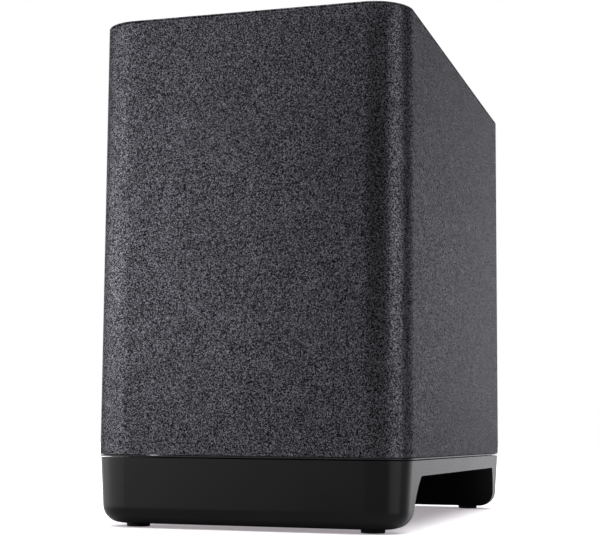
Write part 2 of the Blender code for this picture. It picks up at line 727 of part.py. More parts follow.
def make_base_plinth():
    width = CABINET_WIDTH - 2 * PLINTH_INSET
    depth = CABINET_DEPTH - 2 * PLINTH_INSET
    outline = rounded_outline(width, depth, CORNER_RADIUS - PLINTH_INSET)
    plinth = plate("base_plinth", [outline], PLINTH_BOTTOM, PLINTH_TOP, PLINTH_PLASTIC)
    for vertex in plinth.data.vertices:
        if vertex.co.z < 0:
            vertex.co.x *= 1 - 2 * PLINTH_DRAFT / width
            vertex.co.y *= 1 - 2 * PLINTH_DRAFT / depth
    round_edges(plinth, PLINTH_FILLET, FILLET_STEPS, lambda point: point.z < 0)
    shade_smooth(plinth)
    cut_opening(plinth)
    cut_pockets(plinth)
    deck_hole = rod("deck_hole_cutter", DECK_HOLE_RADIUS, OPENING_TOP - PLINTH_WALL,
                    PLINTH_TOP + PLINTH_WALL, WIDE_STEPS, None, collection=CUTTERS)
    boolean(plinth, deck_hole)
    for index, place in enumerate(base_screw_places()):
        well_top = PLINTH_TOP - BASE_SCREW_DECK
        well = rod(f"well_cutter_{index}", WELL_RADIUS, 0, well_top, SMALL_STEPS, None, collection=CUTTERS)
        hole = rod(f"base_hole_cutter_{index}", BASE_SCREW_RADIUS + SCREW_CLEARANCE, 0,
                   PLINTH_TOP + PLINTH_WALL, FINE_STEPS, None, collection=CUTTERS)
        for cutter in (well, hole):
            cutter.location = (*place, 0)
            boolean(plinth, cutter)
    for index, place in enumerate(foot_places()):
        recess = rod(f"foot_cutter_{index}", FOOT_RADIUS + CONTACT_GAP, 0, PLINTH_BOTTOM + FOOT_RECESS,
                     MEDIUM_STEPS, None, collection=CUTTERS)
        recess.location = (*place, 0)
        boolean(plinth, recess)


def cut_opening(plinth):
    """The tunnel runs right through along X."""
    mesh = flat_mesh("opening_cutter", [opening_outline()], 1.2 * CABINET_WIDTH)
    mesh.transform(Matrix(((0, 0, 1, 0), (1, 0, 0, 0), (0, 1, 0, 0), (0, 0, 0, 1))))
    cutter = mesh_piece("opening_cutter", mesh, None, collection=CUTTERS)
    boolean(plinth, cutter)


def cut_pockets(plinth):
    """The legs are hollow from above, with ribs and screw bosses left standing."""
    wall = PLINTH_DRAFT + PLINTH_WALL
    outer = CABINET_DEPTH / 2 - wall
    inner = CABINET_DEPTH / 2 - LEG_DEPTH + PLINTH_WALL
    for index, (left, right) in enumerate(pocket_spans()):
        for side in (-1, 1):
            near, far = sorted((side * inner, side * outer))
            low = (left, near, PLINTH_BOTTOM + LEG_FLOOR)
            high = (right, far, PLINTH_TOP + PLINTH_WALL)
            name = f"pocket_cutter_{index}_{'rear' if side > 0 else 'front'}"
            boolean(plinth, box(name, low, high, None, collection=CUTTERS))


def make_feet():
    top = PLINTH_BOTTOM + FOOT_RECESS - CONTACT_GAP
    ground = FOOT_RADIUS - FOOT_TAPER
    profile = [(0, top), (FOOT_RADIUS, top), (FOOT_RADIUS, PLINTH_BOTTOM), (ground, FOOT_CHAMFER),
               (ground - FOOT_CHAMFER, 0), (0, 0)]
    names = ("front_left", "front_right", "rear_left", "rear_right")
    for name, place in zip(names, foot_places()):
        foot = turned(f"foot_{name}", profile, MEDIUM_STEPS, RUBBER, closed=False)
        foot.location = (*place, 0)


def make_base_screws():
    seat = PLINTH_TOP - BASE_SCREW_DECK - CONTACT_GAP
    tip = BAFFLE_BOTTOM + BASE_SCREW_GRIP
    profile = pan_screw_profile(seat, tip, BASE_SCREW_RADIUS, BASE_SCREW_HEAD_RADIUS, BASE_SCREW_HEAD)
    for index, place in enumerate(base_screw_places()):
        screw = turned(f"base_screw_{index + 1}", profile, SMALL_STEPS, BLACK_STEEL, closed=False)
        screw.location = (*place, 0)


def pan_screw_profile(seat, tip, radius, head_radius, head):
    """A screw that points up: shank above the seat, domed head below it."""
    bottom = seat - head
    return [(0, tip), (radius, tip - 2 * radius), (radius, seat), (head_radius, seat),
            (head_radius, seat - head / 2), (head_radius / 2, bottom), (0, bottom)]


# Woofer

def woofer_screw_places():
    places = []
    for index in range(WOOFER_SCREWS):
        angle = math.radians(45 + 360 * index / WOOFER_SCREWS)
        places.append((SCREW_CIRCLE_RADIUS * math.cos(angle), SCREW_CIRCLE_RADIUS * math.sin(angle)))
    return places


def make_woofer_gasket():
    outlines = [circle_outline(FRAME_RADIUS, WIDE_STEPS), circle_outline(CUTOUT_RADIUS, WIDE_STEPS)]
    for place in woofer_screw_places():
        outlines.append(circle_outline(WOOFER_SCREW_RADIUS + SCREW_CLEARANCE, FINE_STEPS, place))
    bottom = FLANGE_TOP + CONTACT_GAP
    plate("woofer_gasket", outlines, bottom, bottom + WOOFER_GASKET_THICKNESS, FOAM)


def make_woofer_frame():
    """A flange, a throat, a sloping skirt with windows, and a shelf that carries the motor."""
    throat_top = FLANGE_TOP + THROAT_HEIGHT
    profile = [
        (MAGNET_BORE, FRAME_TOP),
        (LEDGE_INNER_RADIUS + FRAME_WALL, FRAME_TOP),
        (LEDGE_INNER_RADIUS + FRAME_WALL, LEDGE_BOTTOM + FRAME_WALL),
        (LEDGE_OUTER_RADIUS, LEDGE_BOTTOM + FRAME_WALL),
        (THROAT_RADIUS, throat_top),
        (THROAT_RADIUS, FLANGE_TOP),
        (FRAME_RADIUS, FLANGE_TOP),
        (FRAME_RADIUS, FLANGE_BOTTOM),
        (THROAT_RADIUS - FRAME_WALL, FLANGE_BOTTOM),
        (THROAT_RADIUS - FRAME_WALL, throat_top - FRAME_WALL / 2),
        (LEDGE_OUTER_RADIUS - 1.5 * FRAME_WALL, LEDGE_BOTTOM),
        (LEDGE_INNER_RADIUS, LEDGE_BOTTOM),
        (LEDGE_INNER_RADIUS, FRAME_TOP - FRAME_WALL),
        (MAGNET_BORE, FRAME_TOP - FRAME_WALL),
    ]
    frame = turned("woofer_frame", profile, WIDE_STEPS, FRAME_PAINT)
    low = throat_top + 2 * FRAME_WALL
    high = LEDGE_BOTTOM - 2 * FRAME_WALL
    for index in range(WINDOW_COUNT // 2):
        half = WINDOW_WIDTH / 2
        cutter = box(f"window_cutter_{index}", (-FRAME_RADIUS, -half, low), (FRAME_RADIUS, half, high),
                     None, collection=CUTTERS)
        cutter.rotation_euler.z = math.radians(360 / WINDOW_COUNT * index)
        boolean(frame, cutter)
    for index, place in enumerate(woofer_screw_places()):
        cutter = rod(f"flange_hole_cutter_{index}", WOOFER_SCREW_RADIUS + SCREW_CLEARANCE,
                     FLANGE_BOTTOM - FRAME_WALL, FLANGE_TOP + FRAME_WALL, FINE_STEPS, None,
                     collection=CUTTERS)
        cutter.location = (*place, 0)
        boolean(frame, cutter)


def make_woofer_screws():
    seat = FLANGE_BOTTOM - CONTACT_GAP
    tip = BAFFLE_BOTTOM + WOOFER_SCREW_GRIP
    profile = pan_screw_profile(seat, tip, WOOFER_SCREW_RADIUS, WOOFER_SCREW_HEAD_RADIUS,
                                WOOFER_SCREW_HEAD)
    for index, place in enumerate(woofer_screw_places()):
        screw = turned(f"woofer_screw_{index + 1}", profile, SMALL_STEPS, BLACK_STEEL, closed=False)
        screw.location = (*place, 0)


def cone_height(radius):
    """Height of the cone's lower face, which is nearly straight near the coil."""
    share = (CONE_RADIUS - radius) / (CONE_RADIUS - NECK_RADIUS)
    return FLANGE_BOTTOM + CONE_DEPTH * share ** CONE_CURVE


def make_cone(moving):
    radii = [NECK_RADIUS + (CONE_RADIUS - NECK_RADIUS) * index / 5 for index in range(6)]
    outer = [(radius, cone_height(radius) + CONE_THICKNESS) for radius in radii]
    inner = [(radius, cone_height(radius)) for radius in reversed(radii)]
    turned("cone", outer + inner, WIDE_STEPS, CONE_PULP, parent=moving)


def make_dust_cap(moving):
    """A dome glued inside the cone, bulging down."""
    rim = cone_height(DUST_CAP_RADIUS) - DUST_CAP_GLUE
    radius = (DUST_CAP_RADIUS ** 2 + DUST_CAP_DOME ** 2) / (2 * DUST_CAP_DOME)
    centre = rim - DUST_CAP_DOME + radius
    edge = math.degrees(math.asin(DUST_CAP_RADIUS / radius))
    upper = arc((0, centre), radius - CONE_THICKNESS, 270, 270 + edge, 4)
    lower = arc((0, centre), radius, 270 + edge, 270, 4)
    turned("dust_cap", upper + lower, MEDIUM_STEPS, CONE_PULP, closed=False, parent=moving)


def make_voice_coil(moving):
    """The paper former with its copper winding, from the cone's neck into the magnet's gap."""
    neck = cone_height(NECK_RADIUS)
    outer = COIL_RADIUS + FORMER_WALL
    winding_bottom = WINDING_TOP - WINDING_LENGTH
    profile = [(COIL_RADIUS, WINDING_TOP), (WINDING_RADIUS, WINDING_TOP), (WINDING_RADIUS, winding_bottom),
               (outer, winding_bottom), (outer, neck), (COIL_RADIUS, neck)]
    turned("voice_coil", profile, MEDIUM_STEPS, COPPER, parent=moving)


def make_surround():
    """A half roll of rubber from the cone's edge to the frame's flange, bulging down."""
    top = FLANGE_BOTTOM - CONTACT_GAP
    start = CONE_RADIUS
    end = start + 2 * SURROUND_ROLL
    middle = (start + end) / 2
    level = top - SURROUND_THICKNESS
    outside = [(SURROUND_RIM_RADIUS, top), (SURROUND_RIM_RADIUS, level)]
    lower = arc((middle, level), SURROUND_ROLL, 360, 180, 6)
    inside = [(start - SURROUND_LIP, level), (start - SURROUND_LIP, top)]
    upper = arc((middle, level), SURROUND_ROLL - SURROUND_THICKNESS, 180, 360, 6)
    step_in = [(middle - SURROUND_ROLL + SURROUND_THICKNESS, top)]
    step_out = [(middle + SURROUND_ROLL - SURROUND_THICKNESS, top)]
    profile = outside + lower + inside + step_in + upper + step_out
    turned("surround", profile, WIDE_STEPS, RUBBER)


def make_spider():
    """The corrugated cloth ring that centres the coil, glued under the frame's ledge."""
    top = LEDGE_BOTTOM - CONTACT_GAP
    level = top - SPIDER_THICKNESS / 2
    outer = LEDGE_OUTER_RADIUS - 2 * FRAME_WALL
    inner = NECK_RADIUS
    flat = LEDGE_INNER_RADIUS - CONTACT_GAP
    count = SPIDER_WAVES * 4
    upper = []
    lower = []
    for index in range(count + 1):
        share = index / count
        radius = inner + (flat - inner) * share
        wave = SPIDER_WAVE_HEIGHT * math.sin(2 * math.pi * SPIDER_WAVES * share)
        height = level - SPIDER_WAVE_HEIGHT + wave * (1 - share ** 6)
        height += SPIDER_WAVE_HEIGHT * share ** 6
        upper.append((radius, height + SPIDER_THICKNESS / 2))
        lower.append((radius, height - SPIDER_THICKNESS / 2))
    rim = [(outer, level + SPIDER_THICKNESS / 2), (outer, level - SPIDER_THICKNESS / 2)]
    turned("spider", upper + rim + lower[::-1], MEDIUM_STEPS, SPIDER_CLOTH)


def make_motor():
    bore = WINDING_RADIUS + COIL_CLEARANCE
    ring("front_plate", bore, FRONT_PLATE_RADIUS, FRONT_PLATE_BOTTOM, FRONT_PLATE_THICKNESS, ZINC)
    ring("ferrite_magnet", MAGNET_BORE, MAGNET_RADIUS, MAGNET_BOTTOM, MAGNET_THICKNESS, FERRITE)
    top = YOKE_BOTTOM + YOKE_THICKNESS
    pole_end = FRONT_PLATE_BOTTOM
    profile = [
        (POLE_VENT_RADIUS, top),
        (YOKE_RADIUS, top),
        (YOKE_RADIUS, YOKE_BOTTOM),
        (POLE_RADIUS, YOKE_BOTTOM),
        (POLE_RADIUS, pole_end),
        (POLE_VENT_RADIUS, pole_end),
    ]
    turned("pole_yoke", profile, MEDIUM_STEPS, ZINC)


def ring(name, inner, outer, bottom, thickness, material):
    top = bottom + thickness
    profile = [(inner, top), (outer, top), (outer, bottom), (inner, bottom)]
    return turned(name, profile, MEDIUM_STEPS, material)


def terminal_place():
    """The near face and the middle height of the terminal strip, behind the frame's top."""
    near = LEDGE_INNER_RADIUS + FRAME_WALL + CONTACT_GAP
    bottom = LEDGE_BOTTOM + FRAME_WALL + CONTACT_GAP
    return near, bottom


def make_terminal_strip():
    near, bottom = terminal_place()
    low = (-TERMINAL_WIDTH / 2, near, bottom)
    high = (TERMINAL_WIDTH / 2, near + TERMINAL_THICKNESS, bottom + TERMINAL_HEIGHT)
    box("terminal_strip", low, high, LAMINATE)


def make_tinsel_leads():
    """Two braided leads from the terminal strip, through a window, to the back of the cone."""
    near, bottom = terminal_place()
    start = near + TERMINAL_THICKNESS + CONTACT_GAP + TINSEL_RADIUS
    reach = LEDGE_OUTER_RADIUS + 4 * TINSEL_RADIUS
    end = DUST_CAP_RADIUS + TINSEL_FROM_DUST_CAP
    landing = cone_height(math.hypot(end, TINSEL_SPACING / 2)) + CONE_THICKNESS + 3 * TINSEL_RADIUS
    window = (FLANGE_TOP + THROAT_HEIGHT + LEDGE_BOTTOM) / 2
    for name, side in (("tinsel_lead_left", -1), ("tinsel_lead_right", 1)):
        x = side * TINSEL_SPACING / 2
        stations = [
            (x, start, bottom + TERMINAL_HEIGHT * 0.7),
            (x, start + 0.001, bottom + TERMINAL_HEIGHT * 0.3),
            (x, reach, bottom),
            (x, reach + 0.002, window + 0.009),
            (x, reach - 0.002, window),
            (x, (reach + end) / 2, window - 0.006),
            (x, end, landing),
        ]
        wire(name, smooth_route(stations, 3), TINSEL_RADIUS, BRAID)


def make_speaker_lead():
    """The twin lead from the amplifier board down to the woofer's terminals."""
    near, bottom = terminal_place()
    start = near + TERMINAL_THICKNESS + CONTACT_GAP + LEAD_RADIUS
    height = bottom + TERMINAL_HEIGHT + LEAD_RADIUS
    board = BOARD_FRONT - CONTACT_GAP
    socket = BOARD_CENTRE_HEIGHT - BOARD_HEIGHT / 2 + LEAD_FROM_BOARD_EDGE
    stations = [
        (0, start, bottom + TERMINAL_HEIGHT * 0.6),
        (0, start + 0.006, height + 0.002),
        (0, start + 0.030, height + 0.001),
        (0.006, board - 0.050, height - 0.004),
        (0.010, board - 0.020, socket - 0.004),
        (0.010, board - 0.006, socket),
        (0.010, board, socket),
    ]
    wire("speaker_lead", smooth_route(stations, 4), LEAD_RADIUS, WIRE_SLEEVE)


# Reflex port

def make_port():
    """A straight tube with a flared inner end, and a trim ring that covers the fabric's edge."""
    outer = PORT_RADIUS + PORT_WALL
    flare = PORT_END_FLARE
    tube_profile = [
        (PORT_RADIUS, 0),
        (outer, 0),
        (outer, -PORT_LENGTH + 2 * flare),
        (outer + flare, -PORT_LENGTH),
        (PORT_RADIUS + flare, -PORT_LENGTH),
        (PORT_RADIUS, -PORT_LENGTH + 2 * flare),
    ]
    tube = turned("port_tube", tube_profile, MEDIUM_STEPS, PANEL_PLASTIC)
    tube.rotation_euler.x = math.radians(-90)
    tube.location = (0, BOX_REAR, PORT_HEIGHT)
    under = FABRIC_THICKNESS + 2 * CONTACT_GAP
    face = under + PORT_FLANGE_THICKNESS
    mouth = PORT_RADIUS + PORT_LIP
    lip = []
    for angle in (0, 30, 60, 90):
        radius = mouth - PORT_LIP * math.cos(math.radians(angle))
        height = CONTACT_GAP + (face - CONTACT_GAP) * math.sin(math.radians(angle))
        lip.append((radius, height))
    ring_profile = lip + [
        (PORT_FLANGE_RADIUS - AMP_EDGE, face),
        (PORT_FLANGE_RADIUS, face - AMP_EDGE),
        (PORT_FLANGE_RADIUS, under),
        (PORT_SPIGOT_RADIUS, under),
        (PORT_SPIGOT_RADIUS, CONTACT_GAP),
    ]
    trim = turned("port_flare", ring_profile, WIDE_STEPS, PANEL_PLASTIC)
    trim.rotation_euler.x = math.radians(-90)
    trim.location = (0, BOX_REAR, PORT_HEIGHT)


# Amplifier

def amp_screw_places():
    return offsets(AMP_WIDTH / 2 - AMP_SCREW_FROM_EDGE, AMP_HEIGHT / 2 - AMP_SCREW_FROM_EDGE)


def amp_screw_profile(top, clearance):
    """A countersunk screw that points to -Z, its flat head at `top`, grown by a clearance."""
    head = AMP_SCREW_HEAD_RADIUS + clearance
    shank = AMP_SCREW_RADIUS + clearance
    seat = top - (head - shank)
    return [(0, top), (head, top), (shank, seat), (shank, -AMP_SCREW_LENGTH + shank),
            (shank * SCREW_TIP_SHARE, -AMP_SCREW_LENGTH), (0, -AMP_SCREW_LENGTH)]


def make_amp_panel():
    """A moulded plate with a socket opening, a button hole, a light hole and four board posts."""
    button = (BUTTON_X, BUTTON_Z - AMP_CENTRE_HEIGHT)
    light = (BUTTON_X, LIGHT_Z - AMP_CENTRE_HEIGHT)
    inlet = (0, INLET_Z - AMP_CENTRE_HEIGHT)
    outlines = [
        rounded_outline(AMP_WIDTH, AMP_HEIGHT, AMP_CORNER, 5),
        rectangle_outline(INLET_WIDTH + 2 * CONTACT_GAP, INLET_HEIGHT + 2 * CONTACT_GAP, inlet),
        circle_outline(BUTTON_RADIUS + BUTTON_CLEARANCE, MEDIUM_STEPS, button),
        circle_outline(LIGHT_RADIUS + CONTACT_GAP, SMALL_STEPS, light),
    ]
    panel = upright_plate("amp_panel", outlines, PANEL_INNER, PANEL_REAR, AMP_CENTRE_HEIGHT, PANEL_PLASTIC)
    half_width = AMP_WIDTH / 2 - AMP_CORNER
    half_height = AMP_HEIGHT / 2 - AMP_CORNER

    def on_outer_rim(point):
        near_side = abs(point.x) > half_width - CONTACT_GAP
        near_end = abs(point.y) > half_height - CONTACT_GAP
        return point.z < 0 and (near_side or near_end)

    round_edges(panel, AMP_EDGE, 2, on_outer_rim)
    for index, (x, z) in enumerate(amp_screw_places()):
        profile = amp_screw_profile(0, SCREW_CLEARANCE)
        cutter = turned(f"countersink_cutter_{index}", profile, SMALL_STEPS, None, closed=False,
                        collection=CUTTERS)
        cutter.rotation_euler.x = math.radians(-90)
        cutter.location = (x, PANEL_REAR, AMP_CENTRE_HEIGHT + z)
        boolean(panel, cutter)
    across = BOARD_WIDTH / 2 - POST_FROM_EDGE
    along = BOARD_HEIGHT / 2 - POST_FROM_EDGE
    reach = POST_LENGTH - CONTACT_GAP + AMP_THICKNESS / 2
    for index, (x, z) in enumerate(offsets(across, along)):
        post = rod(f"post_shape_{index}", POST_RADIUS, 0, reach, SMALL_STEPS, None, collection=CUTTERS)
        post.rotation_euler.x = math.radians(90)
        post.location = (x, PANEL_INNER + AMP_THICKNESS / 2, BOARD_CENTRE_HEIGHT + z)
        boolean(panel, post, "UNION")


def make_amp_gasket():
    inner_width = GASKET_WIDTH - 2 * AMP_GASKET_BAND
    inner_height = GASKET_HEIGHT - 2 * AMP_GASKET_BAND
    outlines = [
        rounded_outline(GASKET_WIDTH, GASKET_HEIGHT, AMP_CORNER - CONTACT_GAP, 3),
        rectangle_outline(inner_width, inner_height),
    ]
    for place in amp_screw_places():
        outlines.append(circle_outline(AMP_SCREW_RADIUS + SCREW_CLEARANCE, FINE_STEPS, place))
    front = BOX_REAR + CONTACT_GAP
    upright_plate("amp_gasket", outlines, front, front + AMP_GASKET_THICKNESS, AMP_CENTRE_HEIGHT, FOAM)


def make_amp_screws():
    for index, (x, z) in enumerate(amp_screw_places()):
        profile = amp_screw_profile(-AMP_SCREW_SINK, 0)
        screw = turned(f"amp_screw_{index + 1}", profile, SMALL_STEPS, BLACK_STEEL, closed=False)
        screw.rotation_euler.x = math.radians(-90)
        screw.location = (x, PANEL_REAR, AMP_CENTRE_HEIGHT + z)


def make_power_inlet():
    """A snap-in two-pole mains inlet: a block with a stadium-shaped socket and two pins."""
    rear = PANEL_REAR - INLET_SET_BACK
    front = rear - INLET_DEPTH
    body = upright_plate("power_inlet", [rectangle_outline(INLET_WIDTH, INLET_HEIGHT)], front, rear,
                         INLET_Z, PANEL_PLASTIC)
    flange_width = INLET_WIDTH + 2 * INLET_FLANGE
    flange_height = INLET_HEIGHT + 2 * INLET_FLANGE
    flange_rear = PANEL_INNER - CONTACT_GAP
    flange = upright_plate("inlet_flange_shape", [rectangle_outline(flange_width, flange_height)],
                           flange_rear - INLET_FLANGE_THICKNESS, flange_rear, INLET_Z, None,
                           collection=CUTTERS)
    boolean(body, flange, "UNION")
    socket = rounded_outline(SOCKET_WIDTH, SOCKET_HEIGHT, SOCKET_HEIGHT / 2, 6)
    cutter = upright_plate("socket_cutter", [socket], rear - SOCKET_DEPTH, rear + SOCKET_DEPTH, INLET_Z,
                           None, collection=CUTTERS)
    boolean(body, cutter)
    for name, side in (("inlet_pin_left", -1), ("inlet_pin_right", 1)):
        x = side * PIN_SPACING / 2
        hole = rod(f"{name}_cutter", PIN_RADIUS + CONTACT_GAP, -INLET_DEPTH - PIN_TAIL, 0, FINE_STEPS, None,
                   collection=CUTTERS)
        pin_tip = -PIN_SET_BACK
        pin_end = -INLET_DEPTH - PIN_TAIL
        profile = [(0, pin_tip), (PIN_RADIUS * 0.6, pin_tip), (PIN_RADIUS, pin_tip - PIN_RADIUS * 0.5),
                   (PIN_RADIUS, pin_end), (0, pin_end)]
        pin = turned(name, profile, FINE_STEPS, TIN, closed=False)
        for item in (hole, pin):
            item.rotation_euler.x = math.radians(-90)
            item.location = (x, rear, INLET_Z)
        boolean(body, hole)


def make_connect_button(moving):
    """A round push cap with a retaining flange and a stem; its face is just below the panel's."""
    face = -BUTTON_SET_BACK
    inner = -(AMP_THICKNESS + BUTTON_TRAVEL / 4 + CONTACT_GAP)
    flange_end = inner - BUTTON_FLANGE_THICKNESS
    stem_end = -(AMP_THICKNESS + POST_LENGTH - SWITCH_HEIGHT - BUTTON_TRAVEL - 2 * CONTACT_GAP)
    wide = BUTTON_RADIUS + BUTTON_FLANGE
    profile = [
        (0, face),
        (BUTTON_RADIUS - BUTTON_EDGE, face),
        (BUTTON_RADIUS, face - BUTTON_EDGE),
        (BUTTON_RADIUS, inner),
        (wide, inner),
        (wide, flange_end),
        (BUTTON_STEM_RADIUS, flange_end),
        (BUTTON_STEM_RADIUS, stem_end),
        (0, stem_end),
    ]
    button = turned("connect_button", profile, MEDIUM_STEPS, PANEL_PLASTIC, closed=False, parent=moving)
    button.rotation_euler.x = math.radians(-90)


def make_button_switch():
    half = SWITCH_SIZE / 2
    low = (BUTTON_X - half, BOARD_REAR + CONTACT_GAP, BUTTON_Z - half)
    high = (BUTTON_X + half, BOARD_REAR + SWITCH_HEIGHT, BUTTON_Z + half)
    box("button_switch", low, high, BLACK_STEEL)


def make_status_light():
    """A light pipe from the board to the panel's face, with a collar behind the panel."""
    face = -CONTACT_GAP
    inner = -AMP_THICKNESS - CONTACT_GAP
    collar = LIGHT_RADIUS + LIGHT_COLLAR
    end = -(AMP_THICKNESS + POST_LENGTH - CONTACT_GAP)
    profile = [(0, face), (LIGHT_RADIUS, face - LIGHT_DOME), (LIGHT_RADIUS, inner), (collar, inner),
               (collar, end), (0, end)]
    light = turned("status_light", profile, SMALL_STEPS, LENS, closed=False)
    light.rotation_euler.x = math.radians(-90)
    light.location = (BUTTON_X, PANEL_REAR, LIGHT_Z)


def make_amp_board():
    outline = [rectangle_outline(BOARD_WIDTH, BOARD_HEIGHT)]
    upright_plate("amp_board", outline, BOARD_FRONT, BOARD_REAR, BOARD_CENTRE_HEIGHT, CIRCUIT_BOARD)


def comb_outline(width, depth, base, fins, fin_thickness):
    """The section of a finned block, its base along X at the top and its fins hanging down."""
    pitch = (width - fin_thickness) / (fins - 1)
    points = [(width / 2, 0), (-width / 2, 0)]
    for index in range(fins):
        left = -width / 2 + index * pitch
        if index > 0:
            points.append((left, -base))
        points.append((left, -depth))
        points.append((left + fin_thickness, -depth))
        if index < fins - 1:
            points.append((left + fin_thickness, -base))
    return points


def make_board_parts():
    """The heat sink, reservoir capacitor, transformer and radio module on the board's inner side."""
    face = BOARD_FRONT - CONTACT_GAP
    left = -BOARD_WIDTH / 2
    right = BOARD_WIDTH / 2
    top = BOARD_CENTRE_HEIGHT + BOARD_HEIGHT / 2
    bottom = BOARD_CENTRE_HEIGHT - BOARD_HEIGHT / 2

    sink_outline = comb_outline(SINK_WIDTH, SINK_DEPTH, SINK_BASE, SINK_FINS, FIN_THICKNESS)
    sink_top = top - BOARD_MARGIN
    sink = plate("heat_sink", [sink_outline], sink_top - SINK_HEIGHT, sink_top, ALUMINIUM)
    sink.location.x = left + BOARD_MARGIN + SINK_WIDTH / 2
    sink.location.y = face

    profile = [
        (0, CAPACITOR_LENGTH),
        (CAPACITOR_RADIUS - CAPACITOR_EDGE, CAPACITOR_LENGTH),
        (CAPACITOR_RADIUS, CAPACITOR_LENGTH - CAPACITOR_EDGE),
        (CAPACITOR_RADIUS, CAPACITOR_GROOVE_FROM_BOARD + CAPACITOR_EDGE),
        (CAPACITOR_RADIUS - CAPACITOR_GROOVE, CAPACITOR_GROOVE_FROM_BOARD),
        (CAPACITOR_RADIUS, CAPACITOR_GROOVE_FROM_BOARD - CAPACITOR_EDGE),
        (CAPACITOR_RADIUS, 0),
        (0, 0),
    ]
    capacitor = turned("capacitor", profile, SMALL_STEPS, BLACK_STEEL, closed=False)
    capacitor.rotation_euler.x = math.radians(90)
    inset = BOARD_MARGIN + CAPACITOR_RADIUS
    capacitor.location = (right - inset, face, top - inset)

    make_transformer(left + BOARD_MARGIN, face, bottom + BOARD_MARGIN)
    make_wireless_module(right - BOARD_MARGIN, face, (top + bottom) / 2 - BOARD_MARGIN)


def make_transformer(left, face, bottom):
    """A ferrite core with its round winding bulging out of both faces."""
    low = (left, face - TRANSFORMER_DEPTH, bottom)
    high = (left + TRANSFORMER_WIDTH, face, bottom + TRANSFORMER_HEIGHT)
    core = box("power_transformer", low, high, FERRITE)
    reach = TRANSFORMER_HEIGHT / 2 + BOBBIN_BULGE
    winding = rod("bobbin_shape", BOBBIN_RADIUS, -reach, reach, SMALL_STEPS, None, collection=CUTTERS)
    winding.location = (left + TRANSFORMER_WIDTH / 2, face - BOBBIN_RADIUS - BOBBIN_OFF_BOARD,
                        bottom + TRANSFORMER_HEIGHT / 2)
    boolean(core, winding, "UNION")


def make_wireless_module(right, face, middle):
    """A small radio board under a soldered shield can."""
    bottom = middle - MODULE_HEIGHT / 2
    top = middle + MODULE_HEIGHT / 2
    board = box("wireless_module", (right - MODULE_WIDTH, face - MODULE_THICKNESS, bottom),
                (right, face, top), TIN)
    low = (right - MODULE_WIDTH + 3 * SHIELD_RIM, face - SHIELD_HEIGHT, bottom + SHIELD_RIM)
    high = (right - SHIELD_RIM, face - MODULE_THICKNESS / 2, top - SHIELD_RIM)
    shield = box("shield_shape", low, high, None, collection=CUTTERS)
    boolean(board, shield, "UNION")


def make_cabinet():
    make_fabric_sleeve()
    make_top_skin()
    make_trim_frame()
    make_walls()
    make_rear_panel()
    make_top_panel()
    make_bottom_baffle()
    make_window_brace()


def make_plinth():
    make_base_plinth()
    make_feet()
    make_base_screws()


def make_woofer():
    moving = new_empty("woofer_axis", (0, 0, 0), CABINET)
    make_woofer_gasket()
    make_woofer_frame()
    make_woofer_screws()
    make_cone(moving)
    make_dust_cap(moving)
    make_voice_coil(moving)
    make_surround()
    make_spider()
    make_motor()
    make_terminal_strip()
    make_tinsel_leads()
    make_speaker_lead()


def make_amplifier():
    moving = new_empty("button_axis", (BUTTON_X, PANEL_REAR, BUTTON_Z), CABINET)
    make_amp_panel()
    make_amp_gasket()
    make_amp_screws()
    make_power_inlet()
    make_connect_button(moving)
    make_button_switch()
    make_status_light()
    make_amp_board()
    make_board_parts()


make_cabinet()
make_plinth()
make_woofer()
make_port()
make_amplifier()
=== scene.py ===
# %% [markdown]
# # A wireless subwoofer, dressed for a portrait
# A subwoofer of this kind is a fibreboard box in a tight fabric wrap, standing on a
# moulded plinth whose long sides are open. The woofer looks down through the plinth;
# the amplifier, the mains inlet and the reflex port are on the back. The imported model
# gives every part its place, and each cell below gives one piece its fine surface.

# %% Load the frame
import json
import math

